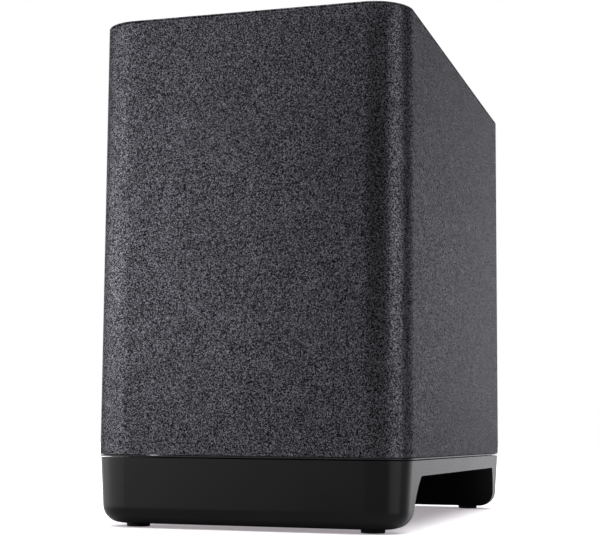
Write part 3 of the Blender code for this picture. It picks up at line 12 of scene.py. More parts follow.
import bmesh
import bpy
from mathutils import Matrix, Vector
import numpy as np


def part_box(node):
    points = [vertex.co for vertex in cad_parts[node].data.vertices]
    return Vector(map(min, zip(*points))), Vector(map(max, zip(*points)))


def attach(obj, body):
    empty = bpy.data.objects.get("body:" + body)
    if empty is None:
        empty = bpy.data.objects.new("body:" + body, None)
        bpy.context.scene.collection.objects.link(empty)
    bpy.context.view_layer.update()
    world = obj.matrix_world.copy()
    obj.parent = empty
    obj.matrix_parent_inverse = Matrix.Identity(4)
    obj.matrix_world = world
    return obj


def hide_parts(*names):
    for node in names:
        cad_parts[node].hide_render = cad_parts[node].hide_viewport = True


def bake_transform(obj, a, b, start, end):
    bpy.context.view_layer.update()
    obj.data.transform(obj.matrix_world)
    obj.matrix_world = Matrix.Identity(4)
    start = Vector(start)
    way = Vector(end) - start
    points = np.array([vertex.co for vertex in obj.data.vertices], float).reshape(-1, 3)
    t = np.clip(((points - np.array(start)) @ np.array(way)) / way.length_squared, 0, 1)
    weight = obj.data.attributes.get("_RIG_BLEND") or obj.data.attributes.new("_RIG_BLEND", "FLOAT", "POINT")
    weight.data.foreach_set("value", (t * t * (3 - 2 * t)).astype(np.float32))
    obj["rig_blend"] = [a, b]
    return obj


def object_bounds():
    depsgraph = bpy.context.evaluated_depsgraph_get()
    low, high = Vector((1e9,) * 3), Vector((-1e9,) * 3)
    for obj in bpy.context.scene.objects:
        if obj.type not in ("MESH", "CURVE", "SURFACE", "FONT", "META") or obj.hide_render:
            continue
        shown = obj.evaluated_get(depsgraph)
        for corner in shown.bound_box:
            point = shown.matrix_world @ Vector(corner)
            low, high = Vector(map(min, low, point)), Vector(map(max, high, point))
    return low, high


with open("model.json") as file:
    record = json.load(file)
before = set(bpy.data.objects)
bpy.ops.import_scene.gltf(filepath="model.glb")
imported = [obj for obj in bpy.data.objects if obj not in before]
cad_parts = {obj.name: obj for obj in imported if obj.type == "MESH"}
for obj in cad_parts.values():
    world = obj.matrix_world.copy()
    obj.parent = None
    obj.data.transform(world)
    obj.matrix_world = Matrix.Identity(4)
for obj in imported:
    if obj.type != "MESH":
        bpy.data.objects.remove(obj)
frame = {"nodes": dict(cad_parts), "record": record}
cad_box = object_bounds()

scene = bpy.context.scene
low, high = cad_box
middle = (low + high) / 2


def add_object(name, data):
    item = bpy.data.objects.new(name, data)
    scene.collection.objects.link(item)
    return item


print("object", [round(size * 1000, 1) for size in high - low], "mm")

# %% [markdown]
# ## The camera
# The camera stands low, in front and to the right, so the upright edges lean together
# towards the top. A long lens keeps that mild. The place is measured from the origin,
# on the floor under the cabinet, and a small lens shift frames the object without
# tilting the view.

# %% Camera
CAMERA_PLACE = Vector((0.28295, -1.01583, 0.05832))
CAMERA_TURN = 0.306
CAMERA_PITCH = 0.104
CAMERA_ROLL = 0.0092
LENS_LENGTH = 84.77
LENS_SHIFT = (0.0369, 0.0222)

camera_data = bpy.data.cameras.new("portrait_camera")
camera_data.sensor_width = 36
camera_data.lens = LENS_LENGTH
camera_data.shift_x, camera_data.shift_y = LENS_SHIFT
camera = add_object("portrait_camera", camera_data)
turn = Matrix.Rotation(CAMERA_TURN, 4, "Z")
pitch = Matrix.Rotation(math.pi / 2 + CAMERA_PITCH, 4, "X")
roll = Matrix.Rotation(CAMERA_ROLL, 4, "Z")
camera.matrix_world = Matrix.Translation(CAMERA_PLACE) @ turn @ pitch @ roll
scene.camera = camera
print("camera is", round((CAMERA_PLACE - middle).length, 2), "m from the object")

# %% [markdown]
# ## Node helpers
# Every finish is a small node tree. These helpers add a node, set its inputs and join
# it to what feeds it, so that each finish below reads as a list of its layers.

# %% Node helpers
def feed(tree, node, **inputs):
    """Sets inputs by name, or by number as i0, i1; each takes a value or another socket."""
    for key, value in inputs.items():
        numbered_input = key[0] == "i" and key[1:].isdigit()
        socket = node.inputs[int(key[1:]) if numbered_input else key.replace("_", " ")]
        if isinstance(value, bpy.types.NodeSocket):
            tree.links.new(value, socket)
        else:
            socket.default_value = value


def add_node(tree, kind, settings=(), **inputs):
    node = tree.nodes.new(kind)
    for key, value in dict(settings).items():
        setattr(node, key, value)
    feed(tree, node, **inputs)
    return node


def maths(tree, operation, first, second=0.0, third=0.0):
    settings = {"operation": operation}
    return add_node(tree, "ShaderNodeMath", settings, i0=first, i1=second, i2=third).outputs[0]


def ramp(tree, factor, stops):
    """A colour ramp; each stop is a place and a grey value or a colour."""
    node = add_node(tree, "ShaderNodeValToRGB", i0=factor)
    elements = node.color_ramp.elements
    while len(elements) < len(stops):
        elements.new(0.5)
    for element, (place, colour) in zip(elements, stops):
        element.position = place
        element.color = (*colour, 1.0) if isinstance(colour, tuple) else (colour, colour, colour, 1.0)
    return node.outputs["Color"]


def remap(tree, value, from_low, from_high, to_low, to_high):
    node = add_node(tree, "ShaderNodeMapRange", i0=value, i1=from_low, i2=from_high, i3=to_low, i4=to_high)
    return node.outputs[0]


def colour_mix(tree, factor, first, second, blend="MIX"):
    """Two colours mixed; each is a value or a socket."""
    colours = [value if isinstance(value, bpy.types.NodeSocket) else (*value, 1.0)
               for value in (first, second)]
    settings = {"data_type": "RGBA", "blend_type": blend}
    return add_node(tree, "ShaderNodeMix", settings, i0=factor, i6=colours[0], i7=colours[1]).outputs[2]


print("node helpers ready")

# %% [markdown]
# ## The studio
# The object stands on a pale floor, and the light comes from the room. Real soft boxes
# are seen in a satin surface as broad bands with dark gaps between, so the room is a
# world shader that paints them by direction: one ramp round the horizon and another
# from floor to ceiling. The camera itself is shown a plain white background and a pale
# matt floor that glows a little, painted light that lightens the shadow on the floor.
# Every other ray meets the floor darker and glossier, so it throws less light up on the plinth.

# %% Studio
scene.view_settings.view_transform = "Standard"
FLOOR_SIZE = 16.0
FLOOR_BOUNCE = (0.30, 0.30, 0.30)
FLOOR_SEEN = ((0.3, 0.90), (0.7, 0.94))
FLOOR_ROUGHNESS_BOUNCE = 0.2
FLOOR_ROUGHNESS_SEEN = 0.7
# The floor's glow, seen by the camera alone, and its colour: painted light that lightens the shadow on the
# floor.
FLOOR_SHADOW_GLOW = 0.3
FLOOR_GLOW_TINT = (1.0, 0.92, 0.97)
ROOM_ROUND = (
    (0.000, 1.20),
    (0.180, 1.10),
    (0.240, 3.20),
    (0.425, 3.20),
    (0.448, 0.55),
    (0.470, 0.10),
    (0.500, 0.02),
    (0.660, 0.02),
    (0.690, 2.20),
    (0.765, 2.20),
    (0.795, 0.15),
    (0.870, 0.15),
    (0.905, 1.10),
)
ROOM_SIDES = ((0.00, 1.0), (0.55, 1.0), (0.75, 0.3), (0.85, 0.0))
ROOM_OVERHEAD = ((0.76, 0.0), (0.88, 3.0))
ROOM_TINT = (0.97, 0.97, 1.0)


def make_floor():
    mesh = bpy.data.meshes.new("studio_floor")
    shape = bmesh.new()
    bmesh.ops.create_grid(shape, x_segments=1, y_segments=1, size=FLOOR_SIZE / 2)
    shape.to_mesh(mesh)
    shape.free()
    floor = add_object("studio_floor", mesh)
    material = bpy.data.materials.new("pale_floor")
    material.use_nodes = True
    tree = material.node_tree
    shader = tree.nodes["Principled BSDF"]
    place = add_node(tree, "ShaderNodeTexCoord").outputs["Object"]
    speckle = add_node(tree, "ShaderNodeTexNoise", Vector=place, Scale=40.0, Detail=4.0)
    seen = ramp(tree, speckle.outputs["Fac"], FLOOR_SEEN)
    straight = add_node(tree, "ShaderNodeLightPath").outputs["Is Camera Ray"]
    # To the camera the floor also glows a little: painted light that lightens its shadow.
    feed(tree, shader, Base_Color=colour_mix(tree, straight, FLOOR_BOUNCE, seen),
         Roughness=remap(tree, straight, 0.0, 1.0, FLOOR_ROUGHNESS_BOUNCE, FLOOR_ROUGHNESS_SEEN),
         Emission_Strength=remap(tree, straight, 0.0, 1.0, 0.0, FLOOR_SHADOW_GLOW),
         Emission_Color=(*FLOOR_GLOW_TINT, 1.0), Specular_IOR_Level=0.3)
    mesh.materials.append(material)


def make_room():
    world = bpy.data.worlds.new("soft_room")
    scene.world = world
    world.use_nodes = True
    tree = world.node_tree
    tree.nodes.clear()
    direction = add_node(tree, "ShaderNodeTexCoord").outputs["Generated"]
    axes = add_node(tree, "ShaderNodeSeparateXYZ", Vector=direction).outputs
    forward = maths(tree, "MULTIPLY", axes["Y"], -1.0)
    azimuth = maths(tree, "ARCTAN2", axes["X"], forward)
    around = ramp(tree, remap(tree, azimuth, -math.pi, math.pi, 0.0, 1.0), ROOM_ROUND)
    height = remap(tree, axes["Z"], -1.0, 1.0, 0.0, 1.0)
    sides = colour_mix(tree, 1.0, around, ramp(tree, height, ROOM_SIDES), "MULTIPLY")
    light = colour_mix(tree, 1.0, sides, ramp(tree, height, ROOM_OVERHEAD), "ADD")
    tinted = colour_mix(tree, 1.0, light, ROOM_TINT, "MULTIPLY")
    lit = add_node(tree, "ShaderNodeBackground", Color=tinted, Strength=1.0)
    seen = add_node(tree, "ShaderNodeBackground", Color=(1, 1, 1, 1), Strength=1.0)
    straight = add_node(tree, "ShaderNodeLightPath").outputs["Is Camera Ray"]
    mixed = add_node(tree, "ShaderNodeMixShader", i0=straight, i1=lit.outputs[0], i2=seen.outputs[0])
    add_node(tree, "ShaderNodeOutputWorld", Surface=mixed.outputs[0])


make_floor()
make_room()
print("studio has", len(ROOM_ROUND), "stops of light round the horizon")

# %% [markdown]
# ## Finishes made of threads and grains
# The wrap is a dense charcoal cloth. Close to, it is all flecks, each lighter or darker
# than the next, which gives the cabinet its fine salt-and-pepper grain. A weave of
# about the same pitch shows only as relief. Both follow the cloth's own map, laid out
# in metres, so they keep their size round the corners.

# %% Cloth finish
FLECK_PITCH = 0.0005
FLECK_CONTRAST = 2.6
THREAD_PITCH = 0.00055
WEAVE_DEPTH = 0.00002
CLOTH_DARK = (0.004, 0.004, 0.0045)
CLOTH_LIGHT = (0.235, 0.231, 0.254)
GLANCE_DARK = (0.05, 0.05, 0.052)
GLANCE_LIGHT = (0.90, 0.90, 0.94)


def new_finish(name):
    """A material with its tree and its shader."""
    material = bpy.data.materials.new(name)
    material.use_nodes = True
    tree = material.node_tree
    return material, tree, tree.nodes["Principled BSDF"]


def add_bump(tree, shader, height, depth, strength=1.0):
    bump = add_node(tree, "ShaderNodeBump", Strength=strength, Distance=depth, Height=height)
    tree.links.new(bump.outputs[0], shader.inputs["Normal"])


def cloth_finish():
    material, tree, shader = new_finish("charcoal_cloth")
    laid = add_node(tree, "ShaderNodeUVMap", {"uv_map": "cloth"}).outputs[0]
    flecks = add_node(tree, "ShaderNodeTexVoronoi", Vector=laid, Scale=1 / FLECK_PITCH, Randomness=0.9)
    chance = add_node(tree, "ShaderNodeSeparateColor", Color=flecks.outputs["Color"]).outputs[0]
    drift = add_node(tree, "ShaderNodeTexNoise", Vector=laid, Scale=55.0, Detail=3.0).outputs["Fac"]
    threads = add_node(tree, "ShaderNodeSeparateXYZ", Vector=laid).outputs
    across = maths(tree, "SINE", maths(tree, "MULTIPLY", threads["X"], math.pi / THREAD_PITCH))
    along = maths(tree, "SINE", maths(tree, "MULTIPLY", threads["Y"], math.pi / THREAD_PITCH))
    weave = maths(tree, "ABSOLUTE", maths(tree, "MULTIPLY", across, along))
    contrasted = maths(tree, "POWER", chance, FLECK_CONTRAST)
    shade = maths(tree, "MULTIPLY", contrasted, remap(tree, drift, 0.3, 0.7, 0.9, 1.1))
    feed(tree, shader, Base_Color=colour_mix(tree, shade, CLOTH_DARK, CLOTH_LIGHT),
         Specular_Tint=colour_mix(tree, shade, GLANCE_DARK, GLANCE_LIGHT),
         Roughness=remap(tree, chance, 0.0, 1.0, 0.38, 0.28), Metallic=0.85, Specular_IOR_Level=0.3)
    add_bump(tree, shader, maths(tree, "ADD", weave, chance), WEAVE_DEPTH, 0.6)
    return material


CLOTH = cloth_finish()
print("cloth flecks", FLECK_PITCH * 1000, "mm apart")

# %% [markdown]
# ## Moulded, painted and pressed finishes
# The rest of the parts share one idea: a base colour that drifts a little, a fine
# grain at the scale that the process leaves, and a roughness that follows the grain.
# One function builds that idea, and each finish states only what differs.

# %% Grained finishes
ROUGH_SPREAD = 0.06
DRIFT_SCALE = 18.0


def grained(name, colour, spread, roughness, grain, depth, metallic=0.0, specular=0.5, stretch=(1, 1, 1)):
    """A finish with grain every `grain` metres, `depth` metres deep, and colour that varies by `spread`."""
    material, tree, shader = new_finish(name)
    place = add_node(tree, "ShaderNodeTexCoord").outputs["Object"]
    laid = add_node(tree, "ShaderNodeMapping", Vector=place, Scale=stretch).outputs[0]
    fine = add_node(tree, "ShaderNodeTexNoise", Vector=laid, Scale=1 / grain, Detail=3.0).outputs["Fac"]
    broad = add_node(tree, "ShaderNodeTexNoise", Vector=place, Scale=DRIFT_SCALE, Detail=4.0).outputs["Fac"]
    mixed = maths(tree, "ADD", maths(tree, "MULTIPLY", fine, 0.6), maths(tree, "MULTIPLY", broad, 0.4))
    dark = tuple(channel * (1 - spread) for channel in colour)
    light = tuple(min(channel * (1 + spread), 1.0) for channel in colour)
    shade = remap(tree, mixed, 0.3, 0.7, 0.0, 1.0)
    feed(tree, shader, Base_Color=colour_mix(tree, shade, dark, light),
         Roughness=remap(tree, mixed, 0.3, 0.7, roughness - ROUGH_SPREAD, roughness + ROUGH_SPREAD),
         Metallic=metallic, Specular_IOR_Level=specular)
    add_bump(tree, shader, fine, depth)
    return material


SATIN_PLASTIC = grained("satin_black_plastic", (0.0035, 0.0035, 0.0038), 0.12, 0.20, 0.0005, 0.000002,
                        specular=0.26)
PANEL_PLASTIC = grained("eroded_black_plastic", (0.016, 0.016, 0.017), 0.2, 0.52, 0.0007, 0.00006)
GLOSS_PLASTIC = grained("moulded_black_plastic", (0.012, 0.012, 0.012), 0.1, 0.24, 0.0012, 0.000005)
RUBBER = grained("black_rubber", (0.012, 0.012, 0.012), 0.3, 0.72, 0.0009, 0.00003, specular=0.3)
SURROUND_RUBBER = grained("surround_rubber", (0.014, 0.014, 0.015), 0.15, 0.55, 0.0008, 0.00001,
                          specular=0.4)
FRAME_PAINT = grained("powder_coat", (0.014, 0.014, 0.014), 0.2, 0.42, 0.0016, 0.00006)
ZINC_STEEL = grained("zinc_plated_steel", (0.55, 0.55, 0.52), 0.12, 0.34, 0.0011, 0.00001, metallic=1.0)
BLACK_STEEL = grained("blackened_steel", (0.045, 0.045, 0.048), 0.25, 0.38, 0.0006, 0.00001, metallic=1.0)
ALUMINIUM = grained("extruded_aluminium", (0.72, 0.73, 0.75), 0.08, 0.36, 0.0008, 0.00001, metallic=1.0,
                    stretch=(1, 1, 0.03))
TINNED_STEEL = grained("tinned_steel", (0.62, 0.63, 0.64), 0.06, 0.28, 0.002, 0.00001, metallic=1.0)
PAPER_PULP = grained("pressed_paper_pulp", (0.020, 0.020, 0.020), 0.45, 0.70, 0.0014, 0.0001, specular=0.3)
LAMINATE = grained("brown_laminate", (0.22, 0.10, 0.04), 0.18, 0.5, 0.0007, 0.00001, stretch=(1, 1, 0.2))
FERRITE = grained("sintered_ferrite", (0.055, 0.056, 0.060), 0.3, 0.62, 0.0009, 0.00005)
WIRE_SLEEVE = grained("wire_sleeve", (0.34, 0.018, 0.014), 0.15, 0.42, 0.002, 0.00001)
print(len(bpy.data.materials), "finishes so far")

# %% [markdown]
# ## Finishes with a pattern of their own
# Fibreboard shows pressed fibres, foam shows its cells, a winding shows its turns, a
# circuit board shows its tracks, and braid and spider cloth show their weave. None of
# these comes from grain alone, so each gets the texture that makes its pattern.

# %% Patterned finishes
def patterned(name, light, dark, roughness, pattern, depth, metallic=0.0):
    """A finish whose colour and relief both follow `pattern(tree, place)`."""
    material, tree, shader = new_finish(name)
    place = add_node(tree, "ShaderNodeTexCoord").outputs["Object"]
    value = pattern(tree, place)
    feed(tree, shader, Base_Color=colour_mix(tree, value, dark, light), Metallic=metallic,
         Roughness=remap(tree, value, 0.0, 1.0, roughness + ROUGH_SPREAD, roughness - ROUGH_SPREAD))
    add_bump(tree, shader, value, depth)
    return material


def pressed_fibres(tree, place):
    strands = add_node(tree, "ShaderNodeMapping", Vector=place, Scale=(1, 0.25, 1)).outputs[0]
    noise = add_node(tree, "ShaderNodeTexNoise", Vector=strands, Scale=900.0, Detail=6.0, Distortion=1.5)
    return remap(tree, noise.outputs["Fac"], 0.3, 0.7, 0.0, 1.0)


def open_cells(tree, place):
    cells = add_node(tree, "ShaderNodeTexVoronoi", Vector=place, Scale=1500.0).outputs["Distance"]
    return remap(tree, cells, 0.1, 0.6, 0.0, 1.0)


def bands_up(pitch):
    def pattern(tree, place):
        height = add_node(tree, "ShaderNodeSeparateXYZ", Vector=place).outputs["Z"]
        wave = maths(tree, "SINE", maths(tree, "MULTIPLY", height, 2 * math.pi / pitch))
        return remap(tree, wave, -1.0, 1.0, 0.0, 1.0)
    return pattern


def tracks(tree, place):
    flat = add_node(tree, "ShaderNodeMapping", Vector=place, Rotation=(math.pi / 2, 0, 0)).outputs[0]
    cells = add_node(tree, "ShaderNodeTexVoronoi", {"distance": "MANHATTAN"}, Vector=flat, Scale=160.0)
    lines = maths(tree, "FRACT", maths(tree, "MULTIPLY", cells.outputs["Distance"], 4.0))
    return remap(tree, lines, 0.42, 0.58, 0.0, 1.0)


def crossed_threads(pitch):
    def pattern(tree, place):
        axes = add_node(tree, "ShaderNodeSeparateXYZ", Vector=place).outputs
        waves = [maths(tree, "SINE", maths(tree, "MULTIPLY", axes[axis], math.pi / pitch)) for axis in "XY"]
        return maths(tree, "ABSOLUTE", maths(tree, "MULTIPLY", waves[0], waves[1]))
    return pattern


FIBREBOARD = patterned("pressed_fibreboard", (0.42, 0.29, 0.17), (0.24, 0.15, 0.08), 0.8, pressed_fibres,
                       0.00012)
FOAM = patterned("open_cell_foam", (0.10, 0.10, 0.11), (0.015, 0.015, 0.016), 0.9, open_cells, 0.0003)
COPPER = patterned("wound_copper", (0.72, 0.30, 0.12), (0.30, 0.10, 0.04), 0.3, bands_up(0.0004),
                   0.0001, 1.0)
BOARD = patterned("solder_mask", (0.03, 0.20, 0.08), (0.012, 0.10, 0.04), 0.4, tracks, 0.00003)
SPIDER_CLOTH = patterned("spider_cloth", (0.66, 0.44, 0.12), (0.36, 0.20, 0.04), 0.85,
                         crossed_threads(0.0007), 0.0002)
BRAID = patterned("tinsel_braid", (0.62, 0.56, 0.50), (0.22, 0.18, 0.15), 0.4,
                  crossed_threads(0.0004), 0.0001, 0.8)


def lens_finish():
    material, tree, shader = new_finish("light_pipe")
    place = add_node(tree, "ShaderNodeTexCoord").outputs["Object"]
    cloud = add_node(tree, "ShaderNodeTexNoise", Vector=place, Scale=900.0).outputs["Fac"]
    feed(tree, shader, Base_Color=colour_mix(tree, cloud, (0.62, 0.68, 0.72), (0.80, 0.84, 0.88)),
         Roughness=remap(tree, cloud, 0.3, 0.7, 0.06, 0.14), Transmission_Weight=0.7, IOR=1.49)
    return material


LENS = lens_finish()
print(len(bpy.data.materials), "finishes in all")

# %% [markdown]
# ## Shape helpers
# Most parts are one of three shapes: a profile turned about an axis, a flat outline
# pulled to a thickness, or a wall swept round the cabinet. Corners on all of them are
# arcs with enough steps to look round close to.

# %% Shape helpers
CONTACT_GAP = 0.0003
TO_REAR = Matrix.Rotation(math.radians(-90), 4, "X")
UPRIGHT = Matrix.Rotation(math.radians(90), 4, "X")


def piece_of(name, mesh, finish, body="root", replaces=()):
    """A finished piece: its finish, the body that carries it and the CAD nodes it stands for."""
    piece = add_object(name, mesh)
    mesh.materials.clear()
    mesh.materials.append(finish)
    if body:
        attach(piece, body)
    if replaces:
        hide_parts(*replaces)
    return piece


def arc_points(centre, radius, start, end, steps):
    """Points on an arc, angles in degrees, both ends included."""
    angles = [math.radians(start + (end - start) * step / steps) for step in range(steps + 1)]
    return [(centre[0] + radius * math.cos(a), centre[1] + radius * math.sin(a)) for a in angles]


def disc(radius, steps=48, centre=(0, 0)):
    return arc_points(centre, radius, 0, 360, steps)[:-1]


def rounded_rectangle(width, depth, radius, steps, centre=(0, 0)):
    """Anticlockwise from the middle of the right side's upper corner."""
    points = []
    for x, y, start in ((1, 1, 0), (-1, 1, 90), (-1, -1, 180), (1, -1, 270)):
        corner = (centre[0] + x * (width / 2 - radius), centre[1] + y * (depth / 2 - radius))
        points += arc_points(corner, radius, start, start + 90, steps)
    return points


def eased(points, radius, steps=3, closed=True):
    """The same line with each corner eased into a curve that starts `radius` before it."""
    count = len(points)
    result = []
    for index, point in enumerate(points):
        corner = Vector(point)
        if not closed and index in (0, count - 1):
            result.append(tuple(corner))
            continue
        before = Vector(points[index - 1]) - corner
        after = Vector(points[(index + 1) % count]) - corner
        reach = min(radius, before.length * 0.45, after.length * 0.45)
        start = corner + before.normalized() * reach
        end = corner + after.normalized() * reach
        for step in range(steps + 1):
            t = step / steps
            result.append(tuple(start.lerp(corner, t).lerp(corner.lerp(end, t), t)))
    return result


def finish_mesh(shape, name, smooth_angle=35):
    """The bmesh as a mesh with its doubles merged, faces out and only real edges sharp."""
    bmesh.ops.remove_doubles(shape, verts=shape.verts, dist=1e-7)
    bmesh.ops.recalc_face_normals(shape, faces=shape.faces)
    mesh = bpy.data.meshes.new(name)
    shape.to_mesh(mesh)
    shape.free()
    mesh.shade_smooth()
    mesh.set_sharp_from_angle(angle=math.radians(smooth_angle))
    return mesh


def turned(name, profile, steps, closed=True):
    """A profile in radius and height, turned about Z."""
    shape = bmesh.new()
    corners = [shape.verts.new((radius, 0, height)) for radius, height in profile]
    pairs = list(zip(corners, corners[1:]))
    if closed:
        pairs.append((corners[-1], corners[0]))
    edges = [shape.edges.new(pair) for pair in pairs]
    bmesh.ops.spin(shape, geom=corners + edges, cent=(0, 0, 0), axis=(0, 0, 1), angle=math.tau,
                   steps=steps, use_merge=True)
    return finish_mesh(shape, name)


def pulled(name, outline, bottom, top):
    """A flat outline pulled from one height to another."""
    shape = bmesh.new()
    face = shape.faces.new([shape.verts.new((x, y, bottom)) for x, y in outline])
    grown = bmesh.ops.extrude_face_region(shape, geom=[face])
    raised = [item for item in grown["geom"] if isinstance(item, bmesh.types.BMVert)]
    bmesh.ops.translate(shape, verts=raised, vec=(0, 0, top - bottom))
    return finish_mesh(shape, name)


def placed(mesh, place, turn=Matrix.Identity(4)):
    mesh.transform(Matrix.Translation(place) @ turn)
    return mesh


def applied(holder, name):
    """The holder's mesh after its modifiers; the holder is removed."""
    bpy.context.view_layer.update()
    graph = bpy.context.evaluated_depsgraph_get()
    mesh = bpy.data.meshes.new_from_object(holder.evaluated_get(graph), depsgraph=graph)
    mesh.name = name
    bpy.data.objects.remove(holder)
    return mesh


def changed(mesh, *steps):
    """The mesh after a list of modifiers, each given as its kind and its settings."""
    holder = add_object("holder", mesh)
    for kind, settings in steps:
        modifier = holder.modifiers.new(kind, kind)
        for key, value in settings.items():
            setattr(modifier, key, value)
    return applied(holder, mesh.name)


def cut(mesh, *tools, operation="DIFFERENCE"):
    """The mesh with each tool's mesh cut from it."""
    for tool in tools:
        cutter = add_object("cutter", tool)
        mesh = changed(mesh, ("BOOLEAN", {"object": cutter, "operation": operation}))
        bpy.data.objects.remove(cutter)
    return mesh


def bevelled(mesh, width, segments=2, angle=40):
    """Eased edges, with shading weighted so that flat faces stay flat."""
    shape = bmesh.new()
    shape.from_mesh(mesh)
    bmesh.ops.remove_doubles(shape, verts=shape.verts, dist=1e-6)
    bmesh.ops.dissolve_limit(shape, angle_limit=math.radians(0.2), verts=[], edges=shape.edges)
    shape.to_mesh(mesh)
    shape.free()
    ease = {"width": width, "segments": segments, "limit_method": "ANGLE",
            "angle_limit": math.radians(angle), "use_clamp_overlap": True, "miter_outer": "MITER_ARC"}
    mesh.shade_smooth()
    mesh.set_sharp_from_angle(angle=math.radians(75))
    return changed(mesh, ("BEVEL", ease), ("WEIGHTED_NORMAL", {"keep_sharp": True, "weight": 90}))


def numbered(prefix):
    """The names of four CAD parts of one kind."""
    return [f"{prefix}_{number}" for number in range(1, 5)]


def centres(*nodes):
    return [(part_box(node)[0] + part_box(node)[1]) / 2 for node in nodes]


print("shape helpers ready")

# %% [markdown]
# ## Fabric wrap
# The cloth is cut as one long strip, pulled round the four uprights and butted in a
# seam down the middle of the back. Its top and bottom edges roll in. A swept wall
# makes that directly: a thin closed section carried round the outline. Because the
# sweep knows how far round it is, it can also lay the cloth's map in real metres.
# Taut cloth doesn't fold, so there is nothing for a cloth simulation to add.

# %% Fabric wrap
wrap_low, wrap_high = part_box("fabric_sleeve")
post_low, post_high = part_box("corner_post_front_left")
cabinet_size = wrap_high - wrap_low
cabinet_centre = (wrap_high + wrap_low) / 2
corner_radius = post_high.x - wrap_low.x
CLOTH_THICKNESS = 0.001
CORNER_STEPS = 24
SEAM_WIDTH = 0.0011
SEAM_DEPTH = 0.0005
EDGE_ROLL = 0.00045


def wrap_path():
    """Points and outward directions round the cabinet, from the middle of the back."""
    half_x = cabinet_size.x / 2
    half_y = cabinet_size.y / 2
    straight_x = half_x - corner_radius
    straight_y = half_y - corner_radius
    path = [(0.0, half_y, 90)]
    for x, y, start in ((-1, 1, 90), (-1, -1, 180), (1, -1, 270), (1, 1, 360)):
        for step in range(CORNER_STEPS + 1):
            angle = start + 90 * step / CORNER_STEPS
            a = math.radians(angle)
            path.append((x * straight_x + corner_radius * math.cos(a),
                         y * straight_y + corner_radius * math.sin(a), angle))
    path.append((0.0, half_y, 450))
    dips = ((-2.0, 0.0), (-1.0, 0.0), (-0.35, 0.6), (0.0, 1.0))
    seam = [(share * SEAM_WIDTH, dip) for share, dip in dips]
    start = [(x, half_y - dip * SEAM_DEPTH, 90) for x, dip in reversed(seam)]
    end = [(-x, half_y - dip * SEAM_DEPTH, 450) for x, dip in seam]
    return start + path[1:-1] + end


def wrap_section(height):
    """The cloth's cross-section: how far out and how high, closed, eased at the rolled edges."""
    corners = [(0, 0), (0, height), (-CLOTH_THICKNESS, height), (-CLOTH_THICKNESS, 0)]
    return eased(corners, EDGE_ROLL, 4)


def swept_wall(name, path, section, centre):
    """Carries the section round the path and lays the cloth map, in metres."""
    shape = bmesh.new()
    cloth_map = shape.loops.layers.uv.new("cloth")
    rows = []
    travelled = [0.0]
    for index, (x, y, angle) in enumerate(path):
        a = math.radians(angle)
        out = Vector((math.cos(a), math.sin(a)))
        rows.append([shape.verts.new((x + out.x * o + centre.x, y + out.y * o + centre.y, z))
                     for o, z in section])
        if index:
            travelled.append(travelled[-1] + math.dist((x, y), path[index - 1][:2]))
    climbed = [0.0]
    for first, second in zip(section, section[1:] + section[:1]):
        climbed.append(climbed[-1] + math.dist(first, second))
    for row in range(len(path) - 1):
        for column in range(len(section)):
            after = (column + 1) % len(section)
            corners = [rows[row][column], rows[row][after], rows[row + 1][after], rows[row + 1][column]]
            face = shape.faces.new(corners)
            spots = ((row, column), (row, column + 1), (row + 1, column + 1), (row + 1, column))
            for loop, (along, up) in zip(face.loops, spots):
                loop[cloth_map].uv = (travelled[along], climbed[up])
    return finish_mesh(shape, name), travelled[-1]


amp_low, amp_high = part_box("amp_gasket")
port_low, port_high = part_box("port_tube")
flare_low, flare_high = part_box("port_flare")
AMP_CORNER = 0.006
PORT_CUT_RADIUS = 0.0323
BACK_REACH = 0.006
port_axis = (port_low + port_high) / 2

wall, perimeter = swept_wall("fabric_wrap", wrap_path(), wrap_section(cabinet_size.z), cabinet_centre)
placed(wall, (0, 0, wrap_low.z))
amp_outline = rounded_rectangle(amp_high.x - amp_low.x, amp_high.z - amp_low.z, AMP_CORNER, 6)
amp_cut = pulled("amp_cut", amp_outline, -BACK_REACH, BACK_REACH)
placed(amp_cut, (0, wrap_high.y, (amp_low.z + amp_high.z) / 2), TO_REAR)
port_cut = pulled("port_cut", disc(PORT_CUT_RADIUS, 96), -BACK_REACH, BACK_REACH)
placed(port_cut, (port_axis.x, wrap_high.y, port_axis.z), TO_REAR)
wrap = piece_of("fabric_wrap", cut(wall, amp_cut, port_cut), CLOTH,
                replaces=["fabric_sleeve"])
print("wrap is", round(perimeter * 1000, 1), "x", round(cabinet_size.z * 1000, 1), "mm of cloth")

# %% [markdown]
# ## Top cover
# The top is its own piece of the same cloth on a thin board, its edge rolled down to
# meet the wrap. A flat outline with an eased edge is enough. Its map is its plan in
# metres with the height added, so that the pattern isn't smeared down the edge.

# %% Top cover
TOP_ROLL = 0.0008
top_low, top_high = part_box("top_skin")


def flat_map(mesh):
    """Lays the cloth map of a level sheet from its plan."""
    layer = mesh.uv_layers.get("cloth") or mesh.uv_layers.new(name="cloth")
    for loop in mesh.loops:
        place = mesh.vertices[loop.vertex_index].co
        layer.data[loop.index].uv = (place.x, place.y + place.z)


cabinet_outline = rounded_rectangle(cabinet_size.x, cabinet_size.y, corner_radius, CORNER_STEPS,
                                    cabinet_centre[:2])
cover = pulled("top_cover", cabinet_outline, top_low.z, top_high.z)
cover = bevelled(cover, TOP_ROLL, 4, 60)
flat_map(cover)
cover_piece = piece_of("top_cover", cover, CLOTH, replaces=["top_skin"])
print("top cover has", len(cover.polygons), "faces")

# %% [markdown]
# ## Plinth
# The plinth is one satin moulding: straight sides with a little draft, a round bottom
# edge, and a tunnel right across it that the sound leaves by. Its inside holds a round
# hole for the woofer, screw wells and foot recesses. It starts as a stack of rounded
# outlines, one for each height, so that the draft and the round bottom edge come from
# a formula; everything else is cut from it, and the cut edges are eased by half a
# millimetre, which is what catches the light round the opening.

